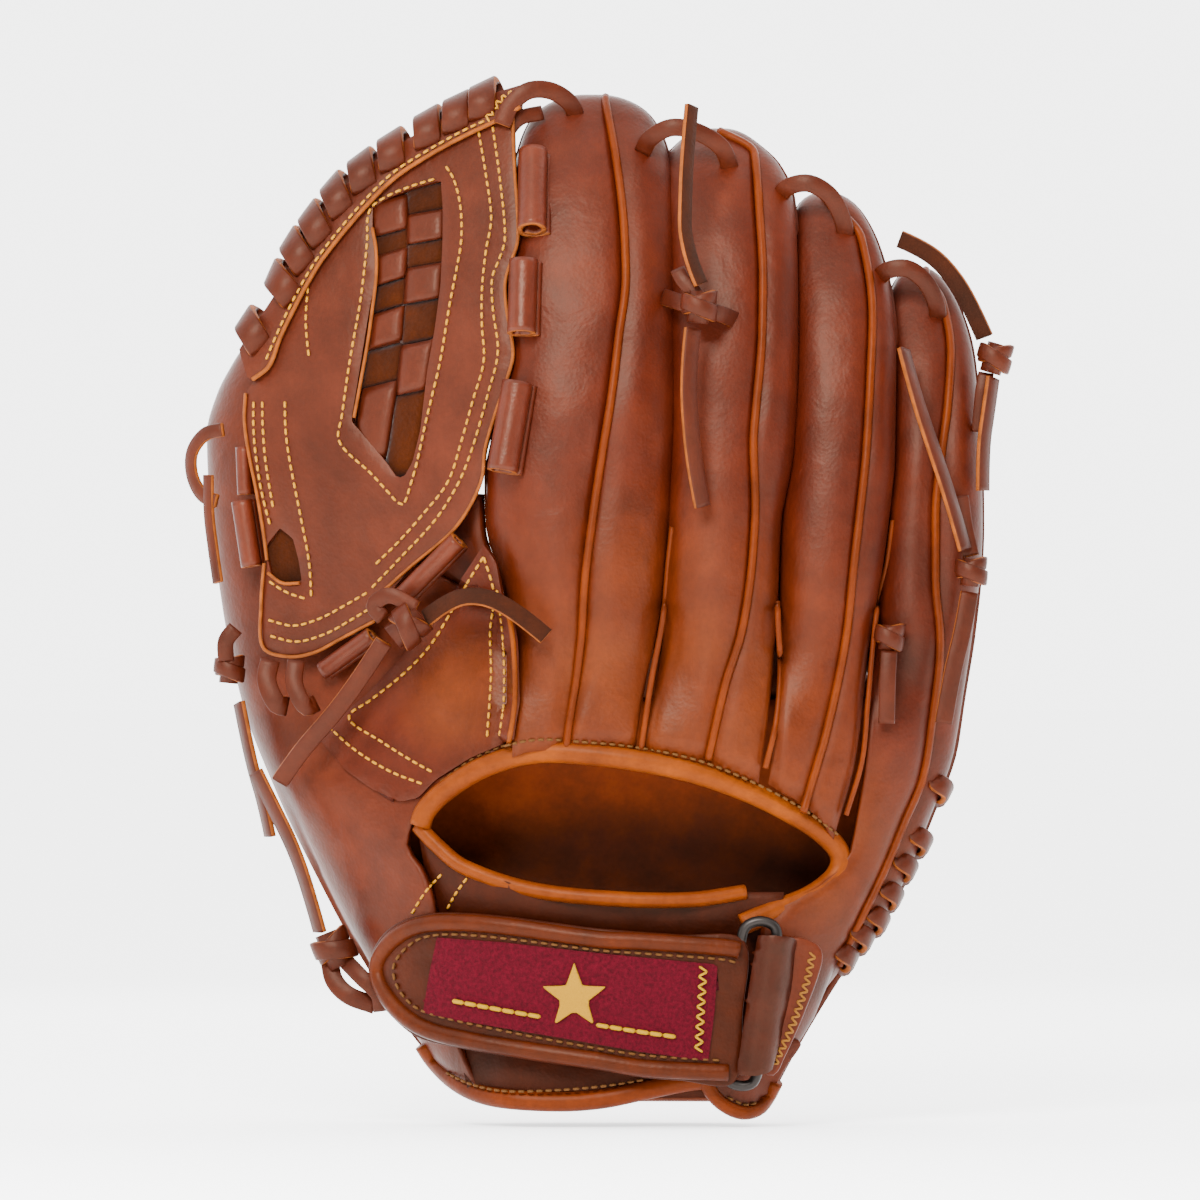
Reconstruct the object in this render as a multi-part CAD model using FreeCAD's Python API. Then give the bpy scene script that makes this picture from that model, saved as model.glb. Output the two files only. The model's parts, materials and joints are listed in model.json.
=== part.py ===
import FreeCAD, Part
import math
import os

# A right-hand fielding glove, seen from the back of the hand: +X towards the little finger,
# +Y out of the palm, +Z towards the fingertips. The origin is the middle of the hand opening.
# All lengths are in millimetres.

Vec = FreeCAD.Vector
os.makedirs("parts", exist_ok=True)

# Leather and clearances
LEATHER = 2.4
PALM_LEATHER = 4.4
LINING = 1.2
PAD = 2.8
CLEAR = 0.6
PAD_CLEAR = 1.2
SEAM_ANGLE = 4.0
WELT_HALF_GAP_ANGLE = 11.5
WELT_TIP_GAP = 2.8
WELT_HALF = 0.9
WELT_STANDS = 2.0
LACE_TUBE = 4.4
BINDING_RADIUS = 3.0

# The thumb side is folded towards the palm about this line, the little-finger side less so
FOLD_X = -34.0
FOLD_SLOPE = 0.42
PINKY_FOLD_X = 50.0
PINKY_FOLD_SLOPE = 0.25
LEAN_START_Z = 95.0
LEAN_TOP_Z = 217.0
LEAN_TOP = 23.5
THUMB_BASE_Z = 8.0

# Rounding exponents of the finger sections and of the wide hand section
FINGER_POWER = 2.6
HAND_POWER = 3.2
ROW_STEP = 11.0

# Finger stalls: height, left edge, right edge, depth of the centre, half depth
INDEX = [(27, -33.5, 6.0, -12, 19.5), (57, -33, 11.5, -13, 20), (91, -38.5, 15.6, -13, 19.5),
         (114, -33, 17, -12, 19), (145, -30, 17.6, -9, 18.5), (175, -29, 17.4, -3, 17.5),
         (195, -28.5, 15.4, 3, 15), (207, -27, 13, 7, 12.5), (217, -21, 6.5, 10.5, 7.5)]
MIDDLE = [(25, 7.2, 44.6, -12, 19.5), (57, 12.7, 48.4, -12, 20), (91, 16.8, 49.6, -11.5, 19.5),
          (114, 18.2, 53.6, -10, 19), (145, 18.8, 55, -7, 18.5), (175, 18.6, 54, -1, 16.5),
          (192, 17.2, 51.5, 4, 14), (202, 17.4, 47, 7.5, 11), (209, 22, 39.5, 10, 7)]
RING = [(20, 45.8, 67.5, -8, 18), (57, 49.6, 77, -8, 19), (91, 50.8, 82.4, -7, 18.5),
        (114, 54.8, 84.6, -5, 18), (145, 56.2, 84.8, -1, 17), (160, 56, 83, 3, 15.5),
        (175, 55.6, 79, 7, 12.5), (186, 58.5, 72, 10.5, 8)]
PINKY = [(22, 69, 103.5, 0, 19), (57, 78.2, 107.5, 1, 19), (91, 83.6, 111, 2, 18),
         (114, 85.8, 110.6, 4, 17), (130, 86, 109, 6.5, 16), (145, 86, 107, 9.5, 14.5),
         (157, 86.4, 103.6, 12.5, 11), (165, 89.5, 99, 14.5, 7)]
THUMB = [(8.5, -103, -64, -4, 23), (38, -114.4, -69, -0.5, 20.5), (69, -121.4, -76, 2.5, 18.5),
         (99, -126, -83, 5, 17.5), (120, -127, -88, 6, 15.5), (132, -123.5, -92, 7, 12.5),
         (139.5, -117, -101, 8, 7.5)]

# Where each finger's raised back seam runs: height, x
INDEX_WELT = [(27, -16), (57, -11.8), (91, -8.5), (114, -5), (145, -1), (175, 1.8),
              (195, 0), (207, -2), (217, -5)]
MIDDLE_WELT = [(25, 27.5), (57, 36), (91, 41), (114, 40.5), (145, 43), (175, 43.4),
               (192, 42.5), (202, 41), (209, 34)]
RING_WELT = [(20, 60), (57, 69), (91, 72.6), (114, 75), (145, 76.8), (160, 76.5), (175, 74), (186, 67)]
PINKY_WELT = [(22, 93.8), (57, 97.6), (91, 96.6), (114, 98.5), (130, 100), (145, 101),
              (157, 98), (165, 95)]

# The wide hand section below the fingers
HAND = [(-84, -47, 46, -8, 21), (-66, -62, 56, -6, 24), (-43, -77, 70.5, -4, 26),
        (-25, -87, 84.5, -3, 27), (0, -99, 95.5, -4, 27), (24, -109, 104, -7, 25),
        (56, -119, 107.6, -10.5, 20)]

# Web outline (x, z), its weave window and its joint with the top band
WEB_PANEL = [(-36, 216), (-52, 207), (-68, 196), (-80, 184), (-91, 171), (-100, 155), (-107, 136),
             (-112, 118), (-112, 100), (-110, 80), (-110, 54), (-98, 51), (-84, 55), (-76, 64),
             (-63, 74), (-54, 86), (-48, 97), (-42, 112), (-38, 124), (-35, 138), (-36.5, 160),
             (-35, 176), (-35, 196), (-35.5, 212)]
WEB_WINDOW = [(-56, 199), (-51, 196), (-50, 180), (-54, 150), (-57, 130), (-64, 108), (-66, 107),
              (-80, 123), (-82, 132), (-79, 155), (-76, 190), (-71, 193)]
BAND_OUTER = [(-33, 225), (-47, 220), (-64, 211), (-75, 204), (-84.5, 196), (-92, 187), (-100, 175),
              (-105.5, 163), (-111.5, 154), (-116, 147)]
BAND_INNER = [(-113, 136.5), (-108, 141), (-100.5, 158), (-91, 174), (-80, 187), (-69, 197),
              (-57, 207), (-36, 217)]
WEB_Y = -26.5
WEB_LAYER = 2.4
BAND_LAYER = 2.0
ROLLS = [(-25.8, 182, 206), (-25.8, 150, 172), (-26.2, 114, 140)]
ROLL_RADIUS = 4.4
WEAVE_ROW_Z = [128, 142, 156, 170, 184]
WEAVE_COLUMN_X = [-73, -60]

# Wrist strap, ring and their places
STRAP_CURVE = [(-79, -1), (-70, -13.5), (-55, -23.5), (-35, -31), (-10, -35.5), (20, -36.5), (39, -35)]
STRAP_OUTLINE = [(-68, -27.5), (-50, -26), (-28, -27), (7, -32), (31, -34.5), (39, -36),
                 (34, -71.5), (32.5, -78), (6, -76.5), (-28, -71.5), (-50, -68), (-62, -65),
                 (-70, -59), (-75.5, -51), (-77.5, -43), (-74.5, -34)]
STRAP_THICKNESS = 3.4
RING_TOP = Vec(42.5, -35.2, -30.5)
RING_BOTTOM = Vec(36.5, -35.2, -80.0)
RING_WIDTH = 9.0
RING_WIRE = 1.5


def slope_at(table, place, column):
    """Slope of one column at a row, level at the table's ends and at its peaks."""
    if place == 0 or place == len(table) - 1:
        near = 0 if place == 0 else place - 1
        return (table[near + 1][column] - table[near][column]) / (table[near + 1][0] - table[near][0])
    before = (table[place][column] - table[place - 1][column]) / (table[place][0] - table[place - 1][0])
    after = (table[place + 1][column] - table[place][column]) / (table[place + 1][0] - table[place][0])
    if before * after <= 0:
        return 0.0
    return 2 * before * after / (before + after)


def value_at(table, height, column):
    """Value of one column at a height, on a smooth curve that never overshoots its rows."""
    height = min(max(height, table[0][0]), table[-1][0])
    place = 0
    while place < len(table) - 2 and height > table[place + 1][0]:
        place += 1
    low, high = table[place], table[place + 1]
    span = high[0] - low[0]
    part = (height - low[0]) / span
    rise = high[column] - low[column]
    start = slope_at(table, place, column) * span
    end = slope_at(table, place + 1, column) * span
    bend = (1 - part) * start - part * end + rise * (2 * part - 1)
    return low[column] + part * rise + part * (1 - part) * bend


def fold(x):
    """How far the glove's two sides turn towards the palm at this x."""
    return FOLD_SLOPE * max(0.0, FOLD_X - x) + PINKY_FOLD_SLOPE * max(0.0, x - PINKY_FOLD_X)


def thumb_fold(x):
    """The thumb side's turn alone, carried on as one plane past the fold line."""
    return FOLD_SLOPE * (FOLD_X - x)


def lean(z):
    """How far the web and the fingertips lean towards the palm at this height."""
    part = max(0.0, z - LEAN_START_Z) / (LEAN_TOP_Z - LEAN_START_Z)
    return LEAN_TOP * part * part


def power(value, exponent):
    """Signed power, for a rounded-rectangle section."""
    return math.copysign(abs(value) ** exponent, value)


def section_point(row, angle, inset, exponent, turn):
    """Point on a stall's section: 0 deg is +X, 90 deg the palm side, 270 deg the back."""
    z, left, right, depth, half_depth = row
    half_width = (right - left) / 2 - inset
    x = (left + right) / 2 + half_width * power(math.cos(math.radians(angle)), 2 / exponent)
    y = depth + (half_depth - inset) * power(math.sin(math.radians(angle)), 2 / exponent)
    return Vec(x, y + turn(x), z)


def angle_at_x(row, x, exponent, side):
    """Section angle where the outline crosses x, on the palm side (+1) or the back (-1)."""
    half_width = (row[2] - row[1]) / 2
    share = (x - (row[1] + row[2]) / 2) / half_width
    share = max(-0.98, min(0.98, share))
    return side * math.degrees(math.acos(power(share, exponent / 2)))


def no_turn(x):
    """Fingers stand in their own places, so their sections take no fold."""
    return 0.0


def spline(points):
    """One smooth edge through the points."""
    curve = Part.BSplineCurve()
    curve.interpolate(points)
    return curve.toShape()


def shell_panel(rows, spans, inset, thickness, exponent=FINGER_POWER, turn=no_turn, count=9):
    """Closed leather panel: each row's section between two angles, inset .. inset + thickness."""
    wires = []
    for row, (start, end) in zip(rows, spans):
        angles = [start + (end - start) * step / (count - 1) for step in range(count)]
        outer = [section_point(row, angle, inset, exponent, turn) for angle in angles]
        inner = [section_point(row, angle, inset + thickness, exponent, turn) for angle in angles]
        edges = [spline(outer), Part.makeLine(outer[-1], inner[-1]),
                 spline(inner[::-1]), Part.makeLine(inner[0], outer[0])]
        wires.append(Part.Wire(edges))
    return Part.makeLoft(wires, True, False)


def row_at(table, z):
    """A whole row of the table at any height."""
    return tuple([z] + [value_at(table, z, column) for column in range(1, 5)])


def rows_between(table, low, high):
    """Evenly spaced rows of a height range, with the tip's own last rows kept."""
    count = max(2, math.ceil((high - low) / ROW_STEP))
    heights = [low + (high - low) * step / count for step in range(count + 1)]
    if high == table[-1][0]:
        heights = [z for z in heights if z < table[-3][0] - 3] + [row[0] for row in table[-3:]]
    return [row_at(table, z) for z in heights]


def welt_angle(row, welt):
    """Section angle of a finger's raised seam."""
    return angle_at_x(row, value_at(welt, row[0], 1), FINGER_POWER, -1)


def welt_gap(row):
    """Half of the angle left open for the raised seam, wider on the slim rows of a fingertip."""
    slim = min((row[2] - row[1]) / 2, row[4])
    return max(WELT_HALF_GAP_ANGLE, math.degrees(WELT_TIP_GAP / slim))


def finger_back(table, welt, outer_side):
    """Half of a finger's back, on the little-finger side of the seam or on the thumb side."""
    spans = []
    rows = rows_between(table, table[0][0], table[-1][0])
    for row in rows:
        seam = welt_angle(row, welt)
        if outer_side:
            spans.append((-SEAM_ANGLE, seam + welt_gap(row)))
        else:
            spans.append((seam - welt_gap(row), SEAM_ANGLE - 180))
    return shell_panel(rows, spans, 0, LEATHER)


def finger_front(table, low):
    """Palm side of a finger stall."""
    rows = rows_between(table, low, table[-1][0])
    return shell_panel(rows, [(SEAM_ANGLE, 180 - SEAM_ANGLE)] * len(rows), 0, PALM_LEATHER)


def finger_lining(table, low):
    """Soft lining sleeve of a stall, open at a seam on the thumb side."""
    rows = rows_between(table, low, table[-2][0])
    return shell_panel(rows, [(-176, 176)] * len(rows), PALM_LEATHER + CLEAR, LINING, count=17)


def finger_welt(table, welt):
    """Raised strip of leather sewn into a finger's back seam."""
    wires = []
    for row in rows_between(table, table[0][0], table[-1][0]):
        seam = welt_angle(row, welt)
        outer = section_point(row, seam, -WELT_STANDS, FINGER_POWER, no_turn)
        inner = section_point(row, seam, LEATHER, FINGER_POWER, no_turn)
        inward = (inner - outer).normalize()
        across = Vec(-inward.y, inward.x, 0) * WELT_HALF
        corners = [outer + across, outer - across, inner - across, inner + across]
        wires.append(Part.makePolygon(corners + [corners[0]]))
    return Part.makeLoft(wires, True, True)


def crotch_welt(left_table, right_table, low, high, near):
    """Seam strip between two finger backs above the hand opening."""
    wires = []
    for row in rows_between(left_table, low, high):
        x = (row[2] + value_at(right_table, row[0], 1)) / 2
        corners = [Vec(x - 0.2, near, row[0]), Vec(x + 0.2, near, row[0]),
                   Vec(x + 0.2, near + 8, row[0]), Vec(x - 0.2, near + 8, row[0])]
        wires.append(Part.makePolygon(corners + [corners[0]]))
    return Part.makeLoft(wires, True, True)


def hand_panel(low, high, start, end, inset, thickness):
    """Panel of the wide hand section; start and end give an angle for each row."""
    rows = rows_between(HAND, low, high)
    spans = [(start(row), end(row)) for row in rows]
    return shell_panel(rows, spans, inset, thickness, HAND_POWER, fold, 27)


def palm_to(x):
    """Angle function: the palm side of the hand section at x."""
    return lambda row: angle_at_x(row, x, HAND_POWER, 1)


def flat(angle):
    """Angle function: the same angle at every height."""
    return lambda row: angle


def back_to(table):
    """Angle function: the back of the hand section at the x given for each height."""
    return lambda row: angle_at_x(row, value_at(table, row[0], 1), HAND_POWER, -1)


def prism(outline, near, far):
    """Outline in x and z, extruded from near to far in y."""
    points = [Vec(x, near, z) for x, z in outline]
    face = Part.Face(Part.makePolygon(points + [points[0]]))
    return face.extrude(Vec(0, far - near, 0))


def web_slab(depth, thickness):
    """Leaning, folded slab that the web's layers are cut from."""
    heights = [40, 80, 110, 140, 170, 200, 235]
    start_x = 0.0
    near = [Vec(start_x, depth + lean(z) + thumb_fold(start_x), z) for z in heights]
    far = [point + Vec(0, thickness, 0) for point in near]
    edges = [spline(near), Part.makeLine(near[-1], far[-1])]
    edges += [spline(far[::-1]), Part.makeLine(far[0], near[0])]
    face = Part.Face(Part.Wire(edges))
    return face.extrude(Vec(-140, FOLD_SLOPE * 140, 0))


def web_layer(layer, outline, window=None):
    """One leather layer of the web, counted from the back of the glove."""
    depth = WEB_Y + layer * (WEB_LAYER + CLEAR)
    shape = web_slab(depth, WEB_LAYER).common(prism(outline, -90, 90))
    if window:
        shape = shape.cut(prism(window, -90, 90))
    return shape


def web_top_band():
    """Folded strip over the top edges of both web panels."""
    outline = BAND_OUTER + BAND_INNER
    near = WEB_Y - BAND_LAYER
    return web_slab(near, 2 * WEB_LAYER + CLEAR + 2 * BAND_LAYER).common(prism(outline, -90, 90))


def web_weave_rows():
    """Level strips of the weave, behind its upright strips."""
    strips = []
    for z in WEAVE_ROW_Z:
        outline = [(-75, z - 5), (-54, z - 5), (-54, z + 5), (-75, z + 5)]
        strips.append(web_layer(0.5, outline).common(prism(WEB_WINDOW, -90, 90)))
    return Part.makeCompound(strips)


def web_weave_columns():
    """Upright strips of the weave, on the back of the glove."""
    strips = []
    for x in WEAVE_COLUMN_X:
        outline = [(x - 4.5, 126), (x + 4.5, 126), (x + 4.5, 188), (x - 4.5, 188)]
        strips.append(web_layer(-0.6, outline).common(prism(WEB_WINDOW, -90, 90)))
    return Part.makeCompound(strips)


def wrap_places():
    """Middle and direction of each turn of the lace round the web's top edge."""
    places = []
    for (x0, z0), (x1, z1) in zip(BAND_OUTER, BAND_OUTER[1:]):
        along = Vec(x1 - x0, 0, z1 - z0).normalize()
        places.append((Vec((x0 + x1) / 2, 0, (z0 + z1) / 2), along))
    return places


def web_edge_lace():
    """Turns of lace that bind the top edge, each a staple over the band."""
    turns = []
    half_in = WEB_LAYER + CLEAR / 2 + BAND_LAYER + 0.9
    half_out = half_in + LEATHER
    reach = 7.0
    for middle, along in wrap_places():
        inward = Vec(-along.z, 0, along.x)
        corners = [(reach, -half_out), (-3.4, -half_out), (-3.4, half_out), (reach, half_out),
                   (reach, half_in), (-0.8, half_in), (-0.8, -half_in), (reach, -half_in)]
        points = []
        for along_edge, through in corners:
            point = middle + inward * along_edge
            centre = WEB_Y + WEB_LAYER + CLEAR / 2 + lean(point.z) + thumb_fold(point.x)
            points.append(Vec(point.x, centre + through, point.z) - along * 2.5)
        face = Part.Face(Part.makePolygon(points + [points[0]]))
        turns.append(face.extrude(along * 5.0))
    return Part.makeCompound(turns)


def index_surface_y(x, z):
    """Back surface of the index finger at x."""
    row = row_at(INDEX, z)
    return section_point(row, angle_at_x(row, x, FINGER_POWER, -1), 0, FINGER_POWER, no_turn).y


def web_rolls():
    """Rolled leather loops that tie the web to the index finger, each a short hollow tube."""
    rolls = []
    for x, low, high in ROLLS:
        foot = Vec(x, index_surface_y(x + 3, low) - ROLL_RADIUS - 1.2, low)
        head = Vec(x, index_surface_y(x + 3, high) - ROLL_RADIUS - 1.2, high)
        heading = head - foot
        outer = Part.makeCylinder(ROLL_RADIUS, heading.Length, foot, heading)
        inner = Part.makeCylinder(ROLL_RADIUS - LEATHER, heading.Length, foot, heading)
        rolls.append(outer.cut(inner))
    return Part.makeCompound(rolls)


def folded_plate(outline, depth, thickness):
    """Flat plate in the folded plane of the thumb side."""
    points = [Vec(x, depth + thumb_fold(x), z) for x, z in outline]
    face = Part.Face(Part.makePolygon(points + [points[0]]))
    return face.extrude(Vec(0, thickness, 0))


def gusset_panel():
    """Sewn panel of the back between the thumb and the index finger."""
    outline = [(-42, 83), (-50, 72), (-63, 58), (-80, 45), (-84, 36), (-80, 26), (-66, 20),
               (-52, 25), (-40, 30), (-38, 44), (-38, 64)]
    return folded_plate(outline, -27.5, LEATHER)


def pocket_leather():
    """Palm-side leather of the crotch between the thumb and the index finger."""
    outline = [(-40, 9), (-62, 9), (-67, 38), (-73, 69), (-60, 84), (-42, 88)]
    return folded_plate(outline, 9.0, PALM_LEATHER)


def curved_plate(curve, outline, thickness, offset=0.0):
    """Plate that follows a curve in x and y, cut to an outline in x and z."""
    near = [Vec(x, y + offset, -110) for x, y in curve]
    far = [point + Vec(0, thickness, 0) for point in near]
    edges = [spline(near), Part.makeLine(near[-1], far[-1])]
    edges += [spline(far[::-1]), Part.makeLine(far[0], near[0])]
    slab = Part.Face(Part.Wire(edges)).extrude(Vec(0, 0, 160))
    return slab.common(prism(outline, -90, 90))


def shrunk(outline, share_x, share_z):
    """Outline drawn in towards the strap's middle."""
    middle_x = -20.0
    middle_z = -51.0
    return [(middle_x + (x - middle_x) * share_x, middle_z + (z - middle_z) * share_z) for x, z in outline]


def star_outline(middle_x, middle_z, long_reach, short_reach):
    """Plain five-pointed star."""
    points = []
    for step in range(10):
        reach = short_reach if step % 2 else long_reach
        angle = math.radians(90 + 36 * step)
        points.append((middle_x + reach * math.cos(angle), middle_z + reach * math.sin(angle)))
    return points


def path_edges(points):
    """Straight runs joined by tangent arcs through the corners of a route."""
    corners = [Vec(*point) for point in points]
    edges = []
    start = corners[0]
    radii = []
    for before, corner, after in zip(corners, corners[1:], corners[2:]):
        back = before - corner
        ahead = after - corner
        half_turn = (math.pi - back.getAngle(ahead)) / 2
        cut = 0.45 * min(back.Length, ahead.Length)
        radii.append(cut / math.tan(half_turn))
        back.normalize()
        ahead.normalize()
        first = corner + back * cut
        last = corner + ahead * cut
        bisector = (back + ahead).normalize()
        reach = radii[-1] / math.cos(half_turn) - radii[-1]
        edges.append(Part.makeLine(start, first))
        edges.append(Part.Arc(first, corner + bisector * reach, last).toShape())
        start = last
    edges.append(Part.makeLine(start, corners[-1]))
    return edges


def tube(points, radius):
    """Round tube along a route."""
    wire = Part.Wire(path_edges(points))
    first = Vec(*points[0])
    heading = Vec(*points[1]) - first
    ring = Part.Wire(Part.makeCircle(radius, first, heading))
    return wire.makePipeShell([ring], True, True)


def ball_knot(middle, radius, squash=0.8):
    """Outer shape of a tied knot."""
    ball = Part.makeSphere(radius)
    matrix = FreeCAD.Matrix()
    matrix.scale(1, squash, 1)
    shape = ball.transformGeometry(matrix)
    shape.translate(Vec(*middle))
    return shape


def strap_ring():
    """Wire ring that the strap turns back round, a closed rectangular loop."""
    side = Vec(RING_WIDTH, 0, 0)
    top_left = RING_TOP
    top_right = RING_TOP + side
    bottom_left = RING_BOTTOM
    bottom_right = RING_BOTTOM + side
    bars = []
    for start, end in [(bottom_left, top_left), (top_left, top_right),
                       (top_right, bottom_right), (bottom_right, bottom_left)]:
        heading = end - start
        bars.append(Part.makeCylinder(RING_WIRE, heading.Length, start, heading))
    for corner in [top_left, top_right, bottom_left, bottom_right]:
        bars.append(Part.makeSphere(RING_WIRE, corner))
    return bars[0].multiFuse(bars[1:])


def ring_keeper():
    """Folded leather tab that holds the ring's outer bar and is sewn to the heel."""
    down = (RING_BOTTOM - RING_TOP).normalize()
    top = RING_TOP + Vec(RING_WIDTH, 0, 0) + down * 5.0
    bottom = RING_BOTTOM + Vec(RING_WIDTH, 0, 0) - down * 5.0
    height = (bottom - top).Length
    outer = Part.makeCylinder(RING_WIRE + 0.35 + LEATHER, height, top, down)
    bore = Part.makeCylinder(RING_WIRE + 0.35, height + 4, top - down * 2, down)
    flap = [Vec(top.x + 2.2, top.y + 1.4, top.z), Vec(top.x + 15, top.y + 5.5, top.z - 2),
            Vec(bottom.x + 12, bottom.y + 5.5, bottom.z + 6), Vec(bottom.x + 2.2, bottom.y + 1.4, bottom.z)]
    near = Part.makePolygon(flap + [flap[0]])
    far_points = [point + Vec(0, 3.0, 0) for point in flap]
    far = Part.makePolygon(far_points + [far_points[0]])
    plate = Part.makeLoft([near, far], True, True)
    return outer.fuse(plate).cut(bore)


def heel_lacing(places, size):
    """Turns of lace that close a heel seam, each a small rounded block."""
    turns = []
    for x, y, z in places:
        block = Part.makeSphere(size)
        matrix = FreeCAD.Matrix()
        matrix.scale(1.2, 0.7, 0.62)
        block = block.transformGeometry(matrix)
        block.translate(Vec(x, y, z))
        turns.append(block)
    return Part.makeCompound(turns)


# Routes of the laces' free ends, from the knot outwards
TAIL_ROUTES = {
    "tail_middle_up": [(24.5, -37, 164.5), (19.5, -37, 176), (19.8, -34, 192), (20.5, -30, 206),
                       (21.8, -27, 219)],
    "tail_middle_down": [(22, -38, 151), (20.5, -40, 137), (21.2, -40.5, 122), (22.8, -39.5, 108),
                         (25, -38, 97)],
    "tail_pinky_up": [(111.5, -10, 149), (107, -12, 159), (101.5, -12.5, 168), (94, -12, 175.5),
                      (85.5, -11, 179)],
    "tail_pinky_down": [(114, -11, 136.5), (112.5, -13, 126), (110.8, -14, 115), (110.8, -14, 102)],
    "tail_ring_long": [(86.5, -18, 145), (90, -24, 131), (95, -26, 116), (100.5, -26, 100),
                       (105, -25, 84)],
    "tail_ring_end": [(106.5, -23, 71), (104.5, -24, 59), (101, -25, 46), (98.5, -25, 31)],
    "tail_web_right": [(-59, -28, 63), (-53, -32, 68), (-44, -36, 70.5), (-33, -38.5, 66.5),
                       (-22.5, -39, 57.5)],
    "tail_web_left": [(-72, -22, 56), (-79, -19, 45), (-88, -17, 33), (-98, -12, 22), (-104, -7, 13)],
    "tail_thumb": [(-117, 11, 37), (-115, 9, 27), (-112.5, 8, 16), (-109.5, 8.5, 6), (-107.5, 9.5, -4)],
    "tail_heel": [(-92, -1, -33), (-95.5, -4, -20), (-100, -6, -7), (-106, -5, 5), (-111.5, -4, 16)],
}

# Knots: middle and radius
KNOTS = {
    "hand_knots": [(24, -36, 157.5, 6.2), (112.5, -9, 142.5, 5.4), (106, -23, 77, 5.0),
                   (82, -24, 55, 4.6), (-87, 2, -39, 5.2)],
    "thumb_knots": [(-66, -24, 61.5, 7.2), (-119, 14, 43, 4.4)],
}


def make_parts():
    """Every sub-part, by node name."""
    fingers = [("index", INDEX, INDEX_WELT), ("middle", MIDDLE, MIDDLE_WELT),
               ("ring", RING, RING_WELT), ("pinky", PINKY, PINKY_WELT)]
    parts = {}
    for name, table, welt in fingers:
        parts[name + "_back_outer"] = finger_back(table, welt, True)
        parts[name + "_back_inner"] = finger_back(table, welt, False)
        parts[name + "_front"] = finger_front(table, 57)
    welts = [finger_welt(table, welt) for name, table, welt in fingers]
    welts.append(crotch_welt(INDEX, MIDDLE, 30, 78, -26))
    welts.append(crotch_welt(MIDDLE, RING, 30, 68, -22))
    parts["finger_welts"] = Part.makeCompound(welts)
    parts["finger_linings"] = Part.makeCompound([finger_lining(table, 60) for name, table, welt in fingers])
    parts.update(hand_parts())
    parts.update(thumb_parts())
    parts.update(web_parts())
    parts.update(wrist_parts())
    parts.update(lace_parts())
    return parts


def hand_parts():
    """Leather, pads and lining of the palm and heel."""
    parts = {}
    split = THUMB_BASE_Z - CLEAR
    lower = hand_panel(-84, split, flat(6), flat(174), 0, PALM_LEATHER)
    upper = hand_panel(split + 0.1, 56, flat(6), palm_to(-33), 0, PALM_LEATHER)
    parts["palm_leather"] = Part.makeCompound([lower, upper])
    inset = PALM_LEATHER + PAD_CLEAR
    pads = [hand_panel(THUMB_BASE_Z + 1, 54, flat(14), palm_to(-30), inset, PAD),
            hand_panel(-78, THUMB_BASE_Z - 1, flat(14), flat(86), inset, PAD),
            hand_panel(-78, THUMB_BASE_Z - 1, flat(94), flat(166), inset, PAD)]
    parts["palm_pads"] = Part.makeCompound(pads)
    inset += PAD + PAD_CLEAR
    parts["palm_lining"] = hand_panel(-78, 54, flat(12), palm_to(-32), inset, LINING)
    pinky_edge = [(-43, 60), (-25, 65), (-10, 78.5), (0, 79.5), (20, 74)]
    parts["pinky_heel_back"] = hand_panel(-43, 20.5, flat(-5), back_to(pinky_edge), 0, LEATHER)
    thumb_edge = [(-43, -63), (-25, -66), (-10, -69), (0, -72), (8, -69)]
    parts["thumb_heel_back"] = hand_panel(-43, split, flat(-175), back_to(thumb_edge), 0, LEATHER)
    return parts


def thumb_parts():
    """Thumb stall, its lining and stiffener, and the leather each side of the thumb crotch."""
    back_spans = [(-SEAM_ANGLE, SEAM_ANGLE - 180)] * len(THUMB)
    front_spans = [(SEAM_ANGLE, 180 - SEAM_ANGLE)] * len(THUMB)
    lining_rows = rows_between(THUMB, 10, 130)
    sleeve = PALM_LEATHER + CLEAR
    stiff_rows = rows_between(THUMB, 14, 112)
    parts = {}
    parts["thumb_back"] = shell_panel(THUMB, back_spans, 0, LEATHER, turn=fold)
    parts["thumb_front"] = shell_panel(THUMB, front_spans, 0, PALM_LEATHER, turn=fold)
    stiff_spans = [(210, 250)] * len(stiff_rows)
    parts["thumb_stiffener"] = shell_panel(stiff_rows, stiff_spans, LEATHER + CLEAR, LINING, turn=fold)
    parts["thumb_lining"] = shell_panel(lining_rows, [(4, 356)] * len(lining_rows), sleeve, LINING,
                                        turn=fold, count=17)
    parts["gusset_panel"] = gusset_panel()
    parts["pocket_leather"] = pocket_leather()
    return parts


def web_parts():
    """Two-panel web with a woven window, bound along its top and laced to the index finger."""
    parts = {}
    parts["web_back_panel"] = web_layer(0, WEB_PANEL, WEB_WINDOW)
    parts["web_front_panel"] = web_layer(1, WEB_PANEL, WEB_WINDOW)
    parts["web_weave"] = Part.makeCompound(web_weave_rows().Solids + web_weave_columns().Solids)
    parts["web_top_band"] = web_top_band()
    parts["web_edge_lace"] = web_edge_lace()
    parts["web_rolls"] = web_rolls()
    return parts


def rim_depth(x):
    """Depth of the hand opening's rim, curving away at its two ends."""
    return -30.5 + 0.0034 * (x - 4) * (x - 4)


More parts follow.
